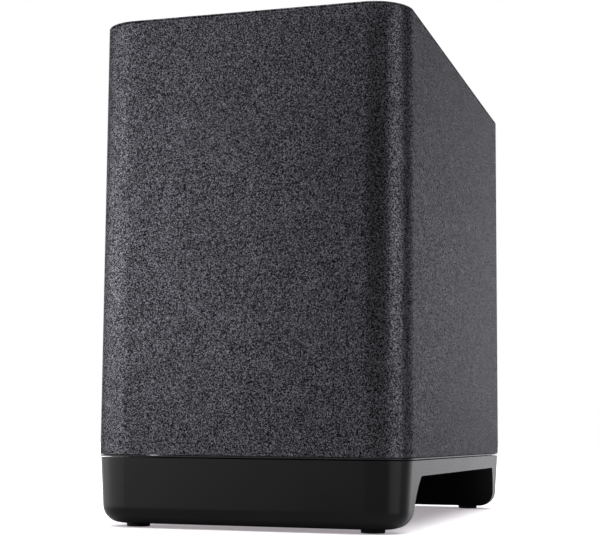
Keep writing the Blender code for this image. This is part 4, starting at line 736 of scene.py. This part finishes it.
# %% Plinth shell
PLINTH_DRAFT = 0.0026
PLINTH_ROUND = 0.011
ROUND_STEPS = 14
LEG_DEPTH = 0.036
LEG_ARC_STEPS = 20
FRONT_SPREAD = 0.0185
REAR_SPREAD = 0.012
ROOF_THICKNESS = 0.0098
DECK_HOLE_CLEARANCE = 0.002
WELL_RADIUS = 0.0045
DECK_UNDER_SCREW = 0.006
PLINTH_EASE = 0.0005
BELOW_FLOOR = -0.01

plinth_low, plinth_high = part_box("base_plinth")
plinth_size = plinth_high - plinth_low
plinth_corner = corner_radius - (cabinet_size.x - plinth_size.x) / 2
basket_low, basket_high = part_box("woofer_frame")
woofer_axis = Vector(((basket_low.x + basket_high.x) / 2, (basket_low.y + basket_high.y) / 2, 0))


def plinth_levels():
    """Heights above the plinth's underside, and how far in the outline is there."""
    levels = []
    for step in range(ROUND_STEPS + 1):
        angle = math.pi / 2 * step / ROUND_STEPS
        rise = PLINTH_ROUND * (1 - math.cos(angle))
        draft = PLINTH_DRAFT * (1 - rise / plinth_size.z)
        levels.append((rise, PLINTH_ROUND * (1 - math.sin(angle)) + draft))
    levels.append((plinth_size.z, 0.0))
    return levels


def plinth_body():
    shape = bmesh.new()
    rings = []
    for rise, inset in plinth_levels():
        radius = max(plinth_corner - inset, 0.001)
        ring = rounded_rectangle(plinth_size.x - 2 * inset, plinth_size.y - 2 * inset, radius,
                                 CORNER_STEPS)
        rings.append([shape.verts.new((x, y + cabinet_centre.y, plinth_low.z + rise)) for x, y in ring])
    for below, above in zip(rings, rings[1:]):
        for index in range(len(below)):
            after = (index + 1) % len(below)
            shape.faces.new([below[index], below[after], above[after], above[index]])
    shape.faces.new(list(reversed(rings[0])))
    shape.faces.new(rings[-1])
    return finish_mesh(shape, "plinth_shell")


def leg_curve(spread, face, direction):
    """A leg's inner side in depth and height: upright at the foot, leaning out to the roof."""
    rise = plinth_size.z - ROOF_THICKNESS
    radius = (spread ** 2 + rise ** 2) / (2 * spread)
    sweep = math.degrees(math.asin(rise / radius))
    curve = arc_points((LEG_DEPTH + radius, plinth_low.z), radius, 180, 180 - sweep, LEG_ARC_STEPS)
    return [(face + direction * depth, height) for depth, height in curve]


def tunnel_cut():
    half = cabinet_size.y / 2
    front = leg_curve(FRONT_SPREAD, cabinet_centre.y - half, 1)
    rear = leg_curve(REAR_SPREAD, cabinet_centre.y + half, -1)
    below = plinth_low.z - PLINTH_ROUND
    outline = front + rear[::-1] + [(rear[0][0], below), (front[0][0], below)]
    reach = plinth_size.x
    tool = pulled("tunnel", outline, -reach, reach)
    tool.transform(Matrix(((0, 0, 1, 0), (1, 0, 0, 0), (0, 1, 0, 0), (0, 0, 0, 1))))
    return tool


SIDES = ("front_left", "front_right", "rear_left", "rear_right")
foot_centres = centres(*[f"foot_{side}" for side in SIDES])
base_screw_centres = centres(*numbered("base_screw"))
foot_low, foot_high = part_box("foot_front_left")
foot_radius = (foot_high.x - foot_low.x) / 2
deck_radius = (basket_high.x - basket_low.x) / 2 + DECK_HOLE_CLEARANCE

deck_outline = disc(deck_radius, 128, woofer_axis[:2])
cuts = [tunnel_cut(), pulled("deck_hole", deck_outline, plinth_low.z + PLINTH_ROUND, 2 * plinth_high.z)]
for place in foot_centres:
    recess = disc(foot_radius + CONTACT_GAP, 48, place[:2])
    cuts.append(pulled("foot_recess", recess, BELOW_FLOOR, foot_high.z + CONTACT_GAP))
for place in base_screw_centres:
    well = disc(WELL_RADIUS, 32, place[:2])
    cuts.append(pulled("screw_well", well, BELOW_FLOOR, plinth_high.z - DECK_UNDER_SCREW))
shell = bevelled(cut(plinth_body(), *cuts), PLINTH_EASE)
piece_of("plinth_shell", shell, SATIN_PLASTIC, replaces=["base_plinth"])
print("plinth shell has", len(shell.polygons), "faces")

# %% [markdown]
# ## Trim lip
# A thin plastic frame parts the wrap from the plinth. Only its edge shows, as a fine
# line round the cabinet, so it is the same outline with a hair of rounding.

# %% Trim lip
trim_low, trim_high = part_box("trim_frame")
TRIM_BAND = 0.012
TRIM_EASE = 0.00025
trim_hole = rounded_rectangle(cabinet_size.x - 2 * TRIM_BAND, cabinet_size.y - 2 * TRIM_BAND,
                              corner_radius - TRIM_BAND, 8, cabinet_centre[:2])
trim_cut = pulled("trim_cut", trim_hole, trim_low.z - 0.01, trim_high.z + 0.01)
trim_mesh = cut(pulled("trim_lip", cabinet_outline, trim_low.z, trim_high.z), trim_cut)
piece_of("trim_lip", bevelled(trim_mesh, TRIM_EASE, 2), SATIN_PLASTIC,
         replaces=["trim_frame"])
print("trim lip is", round((trim_high.z - trim_low.z) * 1000, 2), "mm thick")

# %% [markdown]
# ## Feet and screws
# Four feet, twelve screws and two inlet pins repeat, so each kind is modelled once and
# Geometry Nodes set it on a cloud of points. The tree tips each one to its wall. Every
# screw stops at its own angle, so the tree also turns it about its axis, at random from
# a fixed seed.

# %% Repeating tree
REPEAT_INPUTS = (
    ("Geometry", "Geometry"),
    ("Piece", "Object"),
    ("Tip", "Vector"),
    ("Most Turn", "Float"),
    ("Seed", "Int"),
    ("Finish", "Material"),
)


def repeat_tree():
    """Sets one piece on every point, tipped to its wall and turned at random about its own axis."""
    tree = bpy.data.node_groups.new("repeat_piece", "GeometryNodeTree")
    for name, kind in REPEAT_INPUTS:
        tree.interface.new_socket(name, in_out="INPUT", socket_type=f"NodeSocket{kind}")
    tree.interface.new_socket("Geometry", in_out="OUTPUT", socket_type="NodeSocketGeometry")
    given = tree.nodes.new("NodeGroupInput").outputs
    model = add_node(tree, "GeometryNodeObjectInfo", Object=given["Piece"])
    chance = tree.nodes.new("FunctionNodeRandomValue")
    chance.data_type = "FLOAT"
    numbers = [socket for socket in chance.inputs if socket.enabled and socket.type == "VALUE"]
    numbers[0].default_value = 0.0
    tree.links.new(given["Most Turn"], numbers[1])
    tree.links.new(given["Seed"], chance.inputs["Seed"])
    value = next(socket for socket in chance.outputs if socket.enabled)
    spin = add_node(tree, "ShaderNodeCombineXYZ", Z=value)
    set_down = add_node(tree, "GeometryNodeInstanceOnPoints", Points=given["Geometry"],
                        Instance=model.outputs["Geometry"], Rotation=given["Tip"])
    spun = add_node(tree, "GeometryNodeRotateInstances", Instances=set_down.outputs[0],
                    Rotation=spin.outputs[0])
    real = add_node(tree, "GeometryNodeRealizeInstances", Geometry=spun.outputs[0])
    dressed = add_node(tree, "GeometryNodeSetMaterial", Geometry=real.outputs[0],
                       Material=given["Finish"])
    output = tree.nodes.new("NodeGroupOutput")
    tree.links.new(dressed.outputs[0], output.inputs[0])
    return tree


REPEAT = repeat_tree()


def repeated(name, model, places, finish, replaces, tip=(0, 0, 0), most_turn=0.0, seed=0):
    """One mesh with the model at every place."""
    pattern = add_object(name + "_model", model)
    cloud = bpy.data.meshes.new(name)
    cloud.from_pydata([tuple(place) for place in places], [], [])
    holder = add_object(name + "_points", cloud)
    modifier = holder.modifiers.new("repeat", "NODES")
    modifier.node_group = REPEAT
    given = {"Piece": pattern, "Tip": tip, "Most Turn": most_turn, "Seed": seed, "Finish": finish}
    for item in REPEAT.interface.items_tree:
        if item.in_out == "INPUT" and item.name in given:
            modifier[item.identifier] = given[item.name]
    mesh = applied(holder, name)
    bpy.data.objects.remove(pattern)
    return piece_of(name, mesh, finish, replaces=replaces)


print("repeating tree has", len(REPEAT.nodes), "nodes")

# %% Feet
FOOT_EASE = 0.0004
FOOT_RIM = 0.0003
foot_height = foot_high.z - foot_low.z
foot_profile = [(0, FOOT_RIM), (foot_radius * 0.72, FOOT_RIM), (foot_radius * 0.78, 0),
                (foot_radius - FOOT_RIM, 0), (foot_radius, foot_height), (0, foot_height)]
foot_mesh = turned("foot", eased(foot_profile, FOOT_EASE, 4, closed=False), 64, closed=False)
feet_places = [(place.x, place.y, foot_low.z) for place in foot_centres]
feet = repeated("rubber_feet", foot_mesh, feet_places, RUBBER,
                [f"foot_{side}" for side in SIDES])
print("feet:", len(feet_places), "with", len(feet.data.polygons), "faces")

# %% Screws
PLINTH_SCREW = (0.002, 0.0038, 0.0026)
WOOFER_SCREW = (0.0018, 0.0036, 0.0022)
PLATE_SCREW = (0.0017, 0.0036)
HEAD_EASE = 0.0004
SCREW_PITCH = 0.0011
THREAD_ROOT = 0.78
RECESS_WIDTH = 0.0009
RECESS_DEPTH = 0.0014


def thread_line(radius, start, end):
    """The shank's outline with a ridge at every turn, from `start` down to `end`, then the point."""
    line = [(radius, start)]
    turns = int((start - end - 2 * radius) / SCREW_PITCH)
    for turn_number in range(turns):
        height = start - (turn_number + 0.5) * SCREW_PITCH
        line += [(radius * THREAD_ROOT, height), (radius, height - SCREW_PITCH * 0.25)]
    return line + [(radius * THREAD_ROOT, end + 2 * radius), (0, end)]


def cross_recess(mesh, top, head_radius):
    """A cross-shaped socket that narrows downwards, cut into the head from above."""
    tools = []
    for angle in (0, 90):
        reach = head_radius * 0.62
        half = RECESS_WIDTH / 2
        outline = [(-reach, top + 0.001), (reach, top + 0.001), (reach * 0.45, top - RECESS_DEPTH),
                   (-reach * 0.45, top - RECESS_DEPTH)]
        tool = pulled("recess", outline, -half, half)
        tool.transform(Matrix.Rotation(math.radians(angle), 4, "Z") @ UPRIGHT)
        tools.append(tool)
    return cut(mesh, *tools)


def pan_screw(radius, head_radius, head, length):
    """Head up, seated at height 0, with its shank below."""
    crown = [(0, head), (head_radius * 0.55, head * 0.96), (head_radius * 0.88, head * 0.66),
             (head_radius, 0.0002), (head_radius, 0)]
    profile = eased(crown, HEAD_EASE, 3, closed=False) + thread_line(radius, 0, -length)
    return cross_recess(turned("pan_screw", profile, 32, closed=False), head, head_radius)


def flat_screw(radius, head_radius, length):
    """A countersunk screw whose flat top is at height 0."""
    cone_end = head_radius - radius
    rim = [(0, 0), (head_radius - 0.0002, 0), (head_radius, -0.0002)]
    profile = rim + thread_line(radius, -cone_end, -length)
    return cross_recess(turned("flat_screw", profile, 32, closed=False), 0, head_radius)


def screw_group(name, prefix, model, axis, seat, tip, seed):
    """Replaces the four screws called prefix_1 to prefix_4, seated at one height along an axis."""
    nodes = numbered(prefix)
    places = centres(*nodes)
    for place in places:
        place[axis] = seat
    repeated(name, model, places, BLACK_STEEL, nodes, tip, math.tau, seed)


def driven_up(name, prefix, size, seed):
    """Four pan screws, given by shank radius, head radius and head height, with heads down."""
    screw_low, screw_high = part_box(f"{prefix}_1")
    head = size[2]
    model = pan_screw(*size, screw_high.z - screw_low.z - head)
    screw_group(name, prefix, model, 2, screw_low.z + head, (math.pi, 0, 0), seed)


driven_up("plinth_screws", "base_screw", PLINTH_SCREW, 3)
driven_up("woofer_screws", "woofer_screw", WOOFER_SCREW, 5)
amp_screw_low, amp_screw_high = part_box("amp_screw_1")
amp_model = flat_screw(*PLATE_SCREW, amp_screw_high.y - amp_screw_low.y)
screw_group("amp_plate_screws", "amp_screw", amp_model, 1, amp_screw_high.y, (-math.pi / 2, 0, 0), 7)
print("screw groups made")

# %% [markdown]
# ## Reflex port
# The port is a smooth moulded pipe that ends in a trim ring with a rounded mouth, so
# that the air doesn't hiss. Both are turned shapes, each one closed profile.

# %% Port
PORT_BORE = 0.025
PIPE_WALL = 0.002
MOUTH_ROUND = 0.0045
RING_EASE = 0.0009
pipe_length = port_high.y - port_low.y
pipe_end = (port_high.z - port_low.z) / 2
flare = pipe_end - PORT_BORE - PIPE_WALL
flare_start = 2 * flare - pipe_length
pipe_outer = PORT_BORE + PIPE_WALL
pipe_profile = [(PORT_BORE, 0), (pipe_outer, 0), (pipe_outer, flare_start), (pipe_end, -pipe_length),
                (pipe_end - PIPE_WALL, -pipe_length), (PORT_BORE, flare_start)]
pipe = turned("port_pipe", eased(pipe_profile, 0.003, 5), 64)
placed(pipe, (port_axis.x, port_high.y, port_axis.z), TO_REAR)
piece_of("port_pipe", pipe, GLOSS_PLASTIC, replaces=["port_tube"])

ring_outer = (flare_high.z - flare_low.z) / 2
ring_depth = flare_high.y - flare_low.y
ring_seat = wrap_high.y + CONTACT_GAP - flare_low.y
spigot = ring_outer - 0.005
mouth_angles = [math.radians(angle) for angle in range(0, 91, 10)]
mouth = [(PORT_BORE + MOUTH_ROUND * (1 - math.cos(a)), ring_depth * math.sin(a)) for a in mouth_angles]
rest_of_ring = [(ring_outer, ring_depth), (ring_outer, ring_seat), (spigot, ring_seat), (spigot, 0)]
eased_rest = eased([mouth[-1], *rest_of_ring, mouth[0]], RING_EASE, 4, closed=False)[1:-1]
ring_mesh = turned("port_trim", mouth + eased_rest, 96)
placed(ring_mesh, (port_axis.x, flare_low.y, port_axis.z), TO_REAR)
piece_of("port_trim", ring_mesh, PANEL_PLASTIC, replaces=["port_flare"])
print("port mouth is", round(2 * (PORT_BORE + MOUTH_ROUND) * 1000, 1), "mm across")

# %% [markdown]
# ## Amplifier plate
# The amplifier is fixed to a moulded plate with an eroded grain, a shallow framed field,
# a raised collar round the socket and one round the button. Each opening is cut where
# the CAD part behind it sits.

# %% Amplifier plate
PLATE_EASE = 0.0007
PLATE_CUT_EASE = 0.0002
FIELD_MARGIN = 0.0165
FIELD_DEPTH = 0.0006
PLATE_COLLAR = 0.0016
COLLAR_RISE = 0.0004
BOARD_POST_RADIUS = 0.0035
BOARD_POST_INSET = 0.006
CUT_REACH = 0.002
COUNTERSINK = ((0, 0.001), (0.0039, 0.001), (0.0039, 0), (0.002, -0.0019), (0.002, -0.006), (0, -0.006))
plate_low, plate_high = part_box("amp_panel")
board_low, board_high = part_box("amp_board")
inlet_low, inlet_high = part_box("power_inlet")
button_low, button_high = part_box("connect_button")
light_low, light_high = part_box("status_light")
plate_middle = (plate_low + plate_high) / 2
plate_inner = wrap_high.y + CONTACT_GAP
plate_width = plate_high.x - plate_low.x
plate_height = plate_high.z - plate_low.z
INLET_FLANGE = 0.0027
BUTTON_RADIUS = 0.004
LIGHT_RADIUS = 0.0015
inlet_width = inlet_high.x - inlet_low.x - 2 * INLET_FLANGE
inlet_height = inlet_high.z - inlet_low.z - 2 * INLET_FLANGE
inlet_middle = (inlet_low + inlet_high) / 2
button_middle = (button_low + button_high) / 2
light_middle = (light_low + light_high) / 2


def on_back(outline, place, start, end, name="back_shape"):
    """An outline in X and Z round a place, pulled along Y from start to end."""
    mesh = pulled(name, [(x, -z) for x, z in outline], start, end)
    return placed(mesh, (place.x, 0, place.z), TO_REAR)


def plate_mesh():
    size = rounded_rectangle(plate_width, plate_height, AMP_CORNER, 8)
    plate = bevelled(on_back(size, plate_middle, plate_inner, plate_high.y, "amp_plate"), PLATE_EASE, 3)
    face = plate_high.y
    field = rounded_rectangle(plate_width - 2 * FIELD_MARGIN, plate_height - 2 * FIELD_MARGIN,
                              AMP_CORNER / 2, 6)
    plate = cut(plate, on_back(field, plate_middle, face - FIELD_DEPTH, face + FIELD_DEPTH))
    collar = rounded_rectangle(inlet_width + 2 * PLATE_COLLAR, inlet_height + 2 * PLATE_COLLAR,
                               PLATE_COLLAR, 6)
    rim = disc(BUTTON_RADIUS + PLATE_COLLAR, 64)
    raised = (plate_inner + 0.0005, face - FIELD_DEPTH + COLLAR_RISE)
    plate = cut(plate, on_back(collar, inlet_middle, *raised), on_back(rim, button_middle, *raised),
                operation="UNION")
    socket = rounded_rectangle(inlet_width + 2 * CONTACT_GAP, inlet_height + 2 * CONTACT_GAP, 0.0004, 3)
    through = (plate_inner - CUT_REACH, face + CUT_REACH)
    plate = cut(plate, on_back(socket, inlet_middle, *through),
                on_back(disc(BUTTON_RADIUS + CONTACT_GAP), button_middle, *through),
                on_back(disc(LIGHT_RADIUS + CONTACT_GAP, 24), light_middle, *through))
    for place in centres(*numbered("amp_screw")):
        tool = turned("countersink", COUNTERSINK, 32, closed=False)
        plate = cut(plate, placed(tool, (place.x, face, place.z), TO_REAR))
    return plate


def board_posts():
    """The four posts that the amplifier board is fixed to."""
    shape = None
    for x in (board_low.x + BOARD_POST_INSET, board_high.x - BOARD_POST_INSET):
        for z in (board_low.z + BOARD_POST_INSET, board_high.z - BOARD_POST_INSET):
            post = on_back(disc(BOARD_POST_RADIUS, 32), Vector((x, 0, z)), board_high.y + CONTACT_GAP,
                           plate_inner + 0.001, "board_posts")
            shape = post if shape is None else cut(shape, post, operation="UNION")
    return shape


plate = bevelled(cut(plate_mesh(), board_posts(), operation="UNION"), PLATE_CUT_EASE)
piece_of("amp_plate", plate, PANEL_PLASTIC, replaces=["amp_panel"])
print("amplifier plate has", len(plate.polygons), "faces")

# %% [markdown]
# ## Socket, button and light
# The mains socket takes a two-pole plug: a block with a rounded slot and two round
# pins. The pairing button has a dished cap and rides on its own body, so it moves when
# pressed. The light is the domed end of a clear light pipe.

# %% Socket, button and light
SOCKET_SIZE = (0.0146, 0.0076)
SOCKET_DEPTH = 0.0105
SOCKET_EASE = 0.0004
FLANGE_DEPTH = 0.0015
PIN_RADIUS = 0.0012
PIN_ROUND = 0.0008
CAP_DISH = 0.0004
LIGHT_DOME = 0.0005

flange = rounded_rectangle(inlet_high.x - inlet_low.x, inlet_high.z - inlet_low.z, 0.001, 4)
block = rounded_rectangle(inlet_width, inlet_height, 0.0008, 4)
inlet = on_back(block, inlet_middle, inlet_low.y, inlet_high.y, "inlet_body")
flange_rear = plate_inner - CONTACT_GAP
inlet = cut(inlet, on_back(flange, inlet_middle, flange_rear - FLANGE_DEPTH, flange_rear), operation="UNION")
slot_shape = rounded_rectangle(*SOCKET_SIZE, SOCKET_SIZE[1] / 2 - 0.00001, 12)
inlet = cut(inlet, on_back(slot_shape, inlet_middle, inlet_high.y - SOCKET_DEPTH, inlet_high.y + 0.001))
pin_nodes = ("inlet_pin_left", "inlet_pin_right")
for place in centres(*pin_nodes):
    pin_hole = disc(PIN_RADIUS + 0.0002, 24)
    inlet = cut(inlet, on_back(pin_hole, place, inlet_low.y - 0.001, inlet_high.y - 0.001))
piece_of("inlet_body", bevelled(inlet, SOCKET_EASE, 3), GLOSS_PLASTIC,
         replaces=["power_inlet"])

pin_low, pin_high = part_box("inlet_pin_left")
pin_length = pin_high.y - pin_low.y
pin_line = [(0, 0), (PIN_RADIUS, 0), (PIN_RADIUS, -pin_length), (0, -pin_length)]
pin_profile = eased(pin_line, PIN_ROUND, 6, closed=False)
pin_places = [(place.x, pin_high.y, place.z) for place in centres(*pin_nodes)]
repeated("inlet_pins", turned("pin", pin_profile, 24, closed=False), pin_places, TINNED_STEEL,
         pin_nodes, tip=(-math.pi / 2, 0, 0))

cap_depth = button_high.y - button_low.y
cap_wide = (button_high.x - button_low.x) / 2
cap_back = button_high.y - plate_inner + 0.0005
dish = [(BUTTON_RADIUS * 0.8 * share, -CAP_DISH * (1 - share ** 2)) for share in (0, 0.25, 0.5, 0.75, 1)]
cap_rest = [(BUTTON_RADIUS, 0), (BUTTON_RADIUS, -cap_back), (cap_wide, -cap_back),
            (cap_wide, -cap_back - 0.001),
            (0.0018, -cap_back - 0.001), (0.0018, -cap_depth), (0, -cap_depth)]
cap_profile = dish[:-1] + eased([dish[-1], *cap_rest], 0.0004, 4, closed=False)
cap = placed(turned("button_cap", cap_profile, 64, closed=False),
             (button_middle.x, button_high.y, button_middle.z), TO_REAR)
piece_of("button_cap", cap, SATIN_PLASTIC, "button", ["connect_button"])

pipe_depth = light_high.y - light_low.y
pipe_neck = light_high.y - plate_inner + CONTACT_GAP
pipe_collar = (light_high.x - light_low.x) / 2
dome_angles = [math.radians(angle) for angle in range(0, 91, 15)]
dome = [(LIGHT_RADIUS * math.sin(a), -LIGHT_DOME * (1 - math.cos(a))) for a in dome_angles]
dome += [(LIGHT_RADIUS, -pipe_neck), (pipe_collar, -pipe_neck), (pipe_collar, -pipe_depth), (0, -pipe_depth)]
lens = placed(turned("light_lens", dome, 32, closed=False),
              (light_middle.x, light_high.y, light_middle.z), TO_REAR)
piece_of("light_lens", lens, LENS, replaces=["status_light"])
print("socket, button and light made")

# %% [markdown]
# ## Woofer
# The woofer looks down through the hole in the plinth. Its basket is a pressed and
# painted bowl with eight windows; the cone is pressed paper pulp with faint rings; the
# dust cap is the same pulp. The rubber surround and the cloth spider are fixed at one
# edge and move at the other, so each blends from the cabinet to the cone body with
# its radius, not along a straight line.

# %% Woofer basket
FRAME_WALL = 0.0018
FLANGE_THICKNESS = 0.002
THROAT_RADIUS = 0.0755
THROAT_HEIGHT = 0.010
LEDGE_RADII = (0.046, 0.054)
LEDGE_ABOVE_FLANGE = 0.038
WINDOW_WIDTH = 0.028
flange_radius = (basket_high.x - basket_low.x) / 2
coil_low, coil_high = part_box("voice_coil")
coil_radius = (coil_high.x - coil_low.x) / 2
flange_bottom = basket_low.z
flange_top = flange_bottom + FLANGE_THICKNESS
ledge = flange_bottom + LEDGE_ABOVE_FLANGE
throat_top = flange_top + THROAT_HEIGHT
magnet_bore = coil_radius + 0.0049
basket_profile = [
    (magnet_bore, basket_high.z),
    (LEDGE_RADII[0] + FRAME_WALL, basket_high.z),
    (LEDGE_RADII[0] + FRAME_WALL, ledge + FRAME_WALL),
    (LEDGE_RADII[1], ledge + FRAME_WALL),
    (THROAT_RADIUS, throat_top),
    (THROAT_RADIUS, flange_top),
    (flange_radius, flange_top),
    (flange_radius, flange_bottom),
    (THROAT_RADIUS - FRAME_WALL, flange_bottom),
    (THROAT_RADIUS - FRAME_WALL, throat_top - FRAME_WALL / 2),
    (LEDGE_RADII[1] - 1.5 * FRAME_WALL, ledge),
    (LEDGE_RADII[0], ledge),
    (LEDGE_RADII[0], basket_high.z - FRAME_WALL),
    (magnet_bore, basket_high.z - FRAME_WALL),
]
basket = turned("woofer_basket", eased(basket_profile, 0.0006, 3), 96)
placed(basket, woofer_axis)
window_low = throat_top + 2 * FRAME_WALL
window_high = ledge - 2 * FRAME_WALL
for window in range(4):
    opening = eased([(-WINDOW_WIDTH / 2, window_low), (WINDOW_WIDTH / 2, window_low),
                     (WINDOW_WIDTH / 2, window_high), (-WINDOW_WIDTH / 2, window_high)], 0.004, 5)
    tool = pulled("window", opening, -flange_radius, flange_radius)
    tool.transform(Matrix.Rotation(math.radians(45 * window), 4, "Z") @ UPRIGHT)
    basket = cut(basket, placed(tool, woofer_axis))
piece_of("woofer_basket", basket, FRAME_PAINT, replaces=["woofer_frame"])
print("basket has", len(basket.polygons), "faces")

# %% Cone and dust cap
CONE_THICKNESS = 0.0008
CONE_CURVE = 1.18
CONE_RINGS = 5
RING_HEIGHT = 0.0003
CONE_STEPS = 60
DOME_RISE = 0.009
cone_low, cone_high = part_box("cone")
cap_low, cap_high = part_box("dust_cap")
cone_radius = (cone_high.x - cone_low.x) / 2
neck_radius = 0.0196
cone_depth = cone_high.z - cone_low.z - CONE_THICKNESS


def cone_height(share):
    """Height of the lower face, from the rim (share 0) to the neck (share 1), with faint rings."""
    ripple = RING_HEIGHT * math.sin(math.pi * CONE_RINGS * share) ** 2 * (1 - share)
    return cone_low.z + cone_depth * share ** CONE_CURVE + ripple


shares = [step / CONE_STEPS for step in range(CONE_STEPS + 1)]
lower = [(cone_radius + (neck_radius - cone_radius) * share, cone_height(share)) for share in shares]
cone_mesh = turned("woofer_cone", lower + [(r, z + CONE_THICKNESS) for r, z in lower[::-1]], 128)
placed(cone_mesh, woofer_axis)
piece_of("woofer_cone", cone_mesh, PAPER_PULP, "cone_assembly", ["cone"])

dome_radius = (cap_high.x - cap_low.x) / 2
ball = (dome_radius ** 2 + DOME_RISE ** 2) / (2 * DOME_RISE)
spread = math.degrees(math.asin(dome_radius / ball))
ball_centre = (0, cap_low.z + ball)
outside = arc_points(ball_centre, ball, 270, 270 + spread, 16)
inside = arc_points(ball_centre, ball - CONE_THICKNESS, 270 + spread, 270, 16)
cap_outline = [(0, cap_low.z)] + outside[1:] + inside[:-1] + [(0, cap_low.z + CONE_THICKNESS)]
dome_mesh = placed(turned("dust_dome", cap_outline, 96, closed=False), woofer_axis)
piece_of("dust_dome", dome_mesh, PAPER_PULP, "cone_assembly", ["dust_cap"])
print("cone", round(cone_radius * 2000, 1), "mm and cap", round(dome_radius * 2000, 1), "mm across")

# %% Surround and spider
SURROUND_THICKNESS = 0.0008
ROLL_RADIUS = 0.006
SURROUND_LIP = 0.003
SPIDER_THICKNESS = 0.0007
SPIDER_WAVES = 3
SPIDER_WAVE_HEIGHT = 0.0018
SPIDER_STEPS = 96
surround_low, surround_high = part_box("surround")
spider_low, spider_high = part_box("spider")
surround_radius = (surround_high.x - surround_low.x) / 2
spider_radius = (spider_high.x - spider_low.x) / 2


def radial_blend(piece, still, moving):
    """The piece follows the cabinet beyond radius `still` and the cone inside radius `moving`."""
    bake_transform(piece, "root", "cone_assembly", (still, 0, 0), (moving, 0, 0))
    weights = piece.data.attributes["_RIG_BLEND"]
    for vertex, weight in zip(piece.data.vertices, weights.data):
        radius = (vertex.co - woofer_axis).xy.length
        share = min(max((still - radius) / (still - moving), 0.0), 1.0)
        weight.value = share * share * (3 - 2 * share)


level = surround_high.z - SURROUND_THICKNESS
roll_middle = cone_radius + ROLL_RADIUS
inner_lip = cone_radius - SURROUND_LIP
roll_under = arc_points((roll_middle, level), ROLL_RADIUS, 360, 180, 32)
roll_over = arc_points((roll_middle, level), ROLL_RADIUS - SURROUND_THICKNESS, 180, 360, 32)
surround_line = ([(surround_radius, surround_high.z), (surround_radius, level)] + roll_under
                 + [(inner_lip, level), (inner_lip, surround_high.z),
                    (cone_radius + SURROUND_THICKNESS, surround_high.z)] + roll_over
                 + [(surround_radius - 0.007, surround_high.z)])
surround_mesh = placed(turned("rubber_surround", surround_line, 128), woofer_axis)
surround_piece = piece_of("rubber_surround", surround_mesh, SURROUND_RUBBER, None, ["surround"])
radial_blend(surround_piece, roll_middle + ROLL_RADIUS, cone_radius)


def spider_line():
    """The corrugated ring from the coil out to the ledge, upper face then lower face."""
    flat = LEDGE_RADII[0] - CONTACT_GAP
    middle = spider_high.z - SPIDER_THICKNESS / 2
    line = []
    for step in range(SPIDER_STEPS + 1):
        share = step / SPIDER_STEPS
        wave = SPIDER_WAVE_HEIGHT * math.sin(math.tau * SPIDER_WAVES * share) * (1 - share ** 6)
        height = middle - SPIDER_WAVE_HEIGHT * (1 - share ** 6) + wave
        line.append((neck_radius + (flat - neck_radius) * share, height))
    line.append((spider_radius, middle))
    half = SPIDER_THICKNESS / 2
    return [(r, z + half) for r, z in line] + [(r, z - half) for r, z in reversed(line)]


spider_mesh = placed(turned("corrugated_spider", spider_line(), 128), woofer_axis)
spider_piece = piece_of("corrugated_spider", spider_mesh, SPIDER_CLOTH, None, ["spider"])
radial_blend(spider_piece, LEDGE_RADII[0], neck_radius)
print("surround", len(surround_mesh.polygons), "and spider", len(spider_mesh.polygons), "faces")

# %% [markdown]
# ## Tinsel leads
# Two braided leads carry the current from the fixed terminals to the moving cone.
# They are copies of the CAD leads, shaded smooth, that follow the terminal strip at one
# end and the cone at the other.

# %% Tinsel leads
terminal_low, terminal_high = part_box("terminal_strip")
for side in ("left", "right"):
    node = frame["nodes"][f"tinsel_lead_{side}"]
    shape = bmesh.new()
    shape.from_mesh(node.data)
    shape.transform(node.matrix_world)
    bmesh.ops.remove_doubles(shape, verts=shape.verts, dist=1e-5)
    lead_mesh = finish_mesh(shape, f"tinsel_braid_{side}", 60)
    lead = piece_of(f"tinsel_braid_{side}", lead_mesh, BRAID, None, [f"tinsel_lead_{side}"])
    lead_low, lead_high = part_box(f"tinsel_lead_{side}")
    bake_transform(lead, "root", "cone_assembly", (0, terminal_low.y, 0), (0, lead_low.y + 0.004, 0))
print("tinsel leads follow the cone")

# %% [markdown]
# ## Finishes on the CAD parts
# What is left are the parts inside, such as the panels, the posts, the brace, the magnet
# and the amplifier's parts. They keep their CAD shape. Every CAD part, those that a
# finer piece stands for included, takes the finish of its material slot in the record.

# %% Finishes on the CAD parts
FINISH_OF = {
    "fibreboard": FIBREBOARD,
    "foam": FOAM,
    "rubber": RUBBER,
    "panel_plastic": PANEL_PLASTIC,
    "plinth_plastic": SATIN_PLASTIC,
    "frame_paint": FRAME_PAINT,
    "cone_pulp": PAPER_PULP,
    "spider_cloth": SPIDER_CLOTH,
    "copper_winding": COPPER,
    "zinc_steel": ZINC_STEEL,
    "black_steel": BLACK_STEEL,
    "ferrite": FERRITE,
    "circuit_board": BOARD,
    "aluminium": ALUMINIUM,
    "tinned_metal": TINNED_STEEL,
    "brown_laminate": LAMINATE,
    "tinsel_braid": BRAID,
    "clear_lens": LENS,
    "wire_sleeve": WIRE_SLEEVE,
    "capacitor_sleeve": GLOSS_PLASTIC,
    "wrap_fabric": CLOTH,
}


def dress(node, finish):
    """Every face of the CAD node takes the finish."""
    if not node.data.materials:
        node.data.materials.append(finish)
    for material_slot in node.material_slots:
        material_slot.material = finish


slots = {part["node"]: part["material_slot"] for part in frame["record"]["subparts"]}
for name, node in frame["nodes"].items():
    dress(node, FINISH_OF[slots[name]])
print("finishes given to", len(slots), "CAD parts")
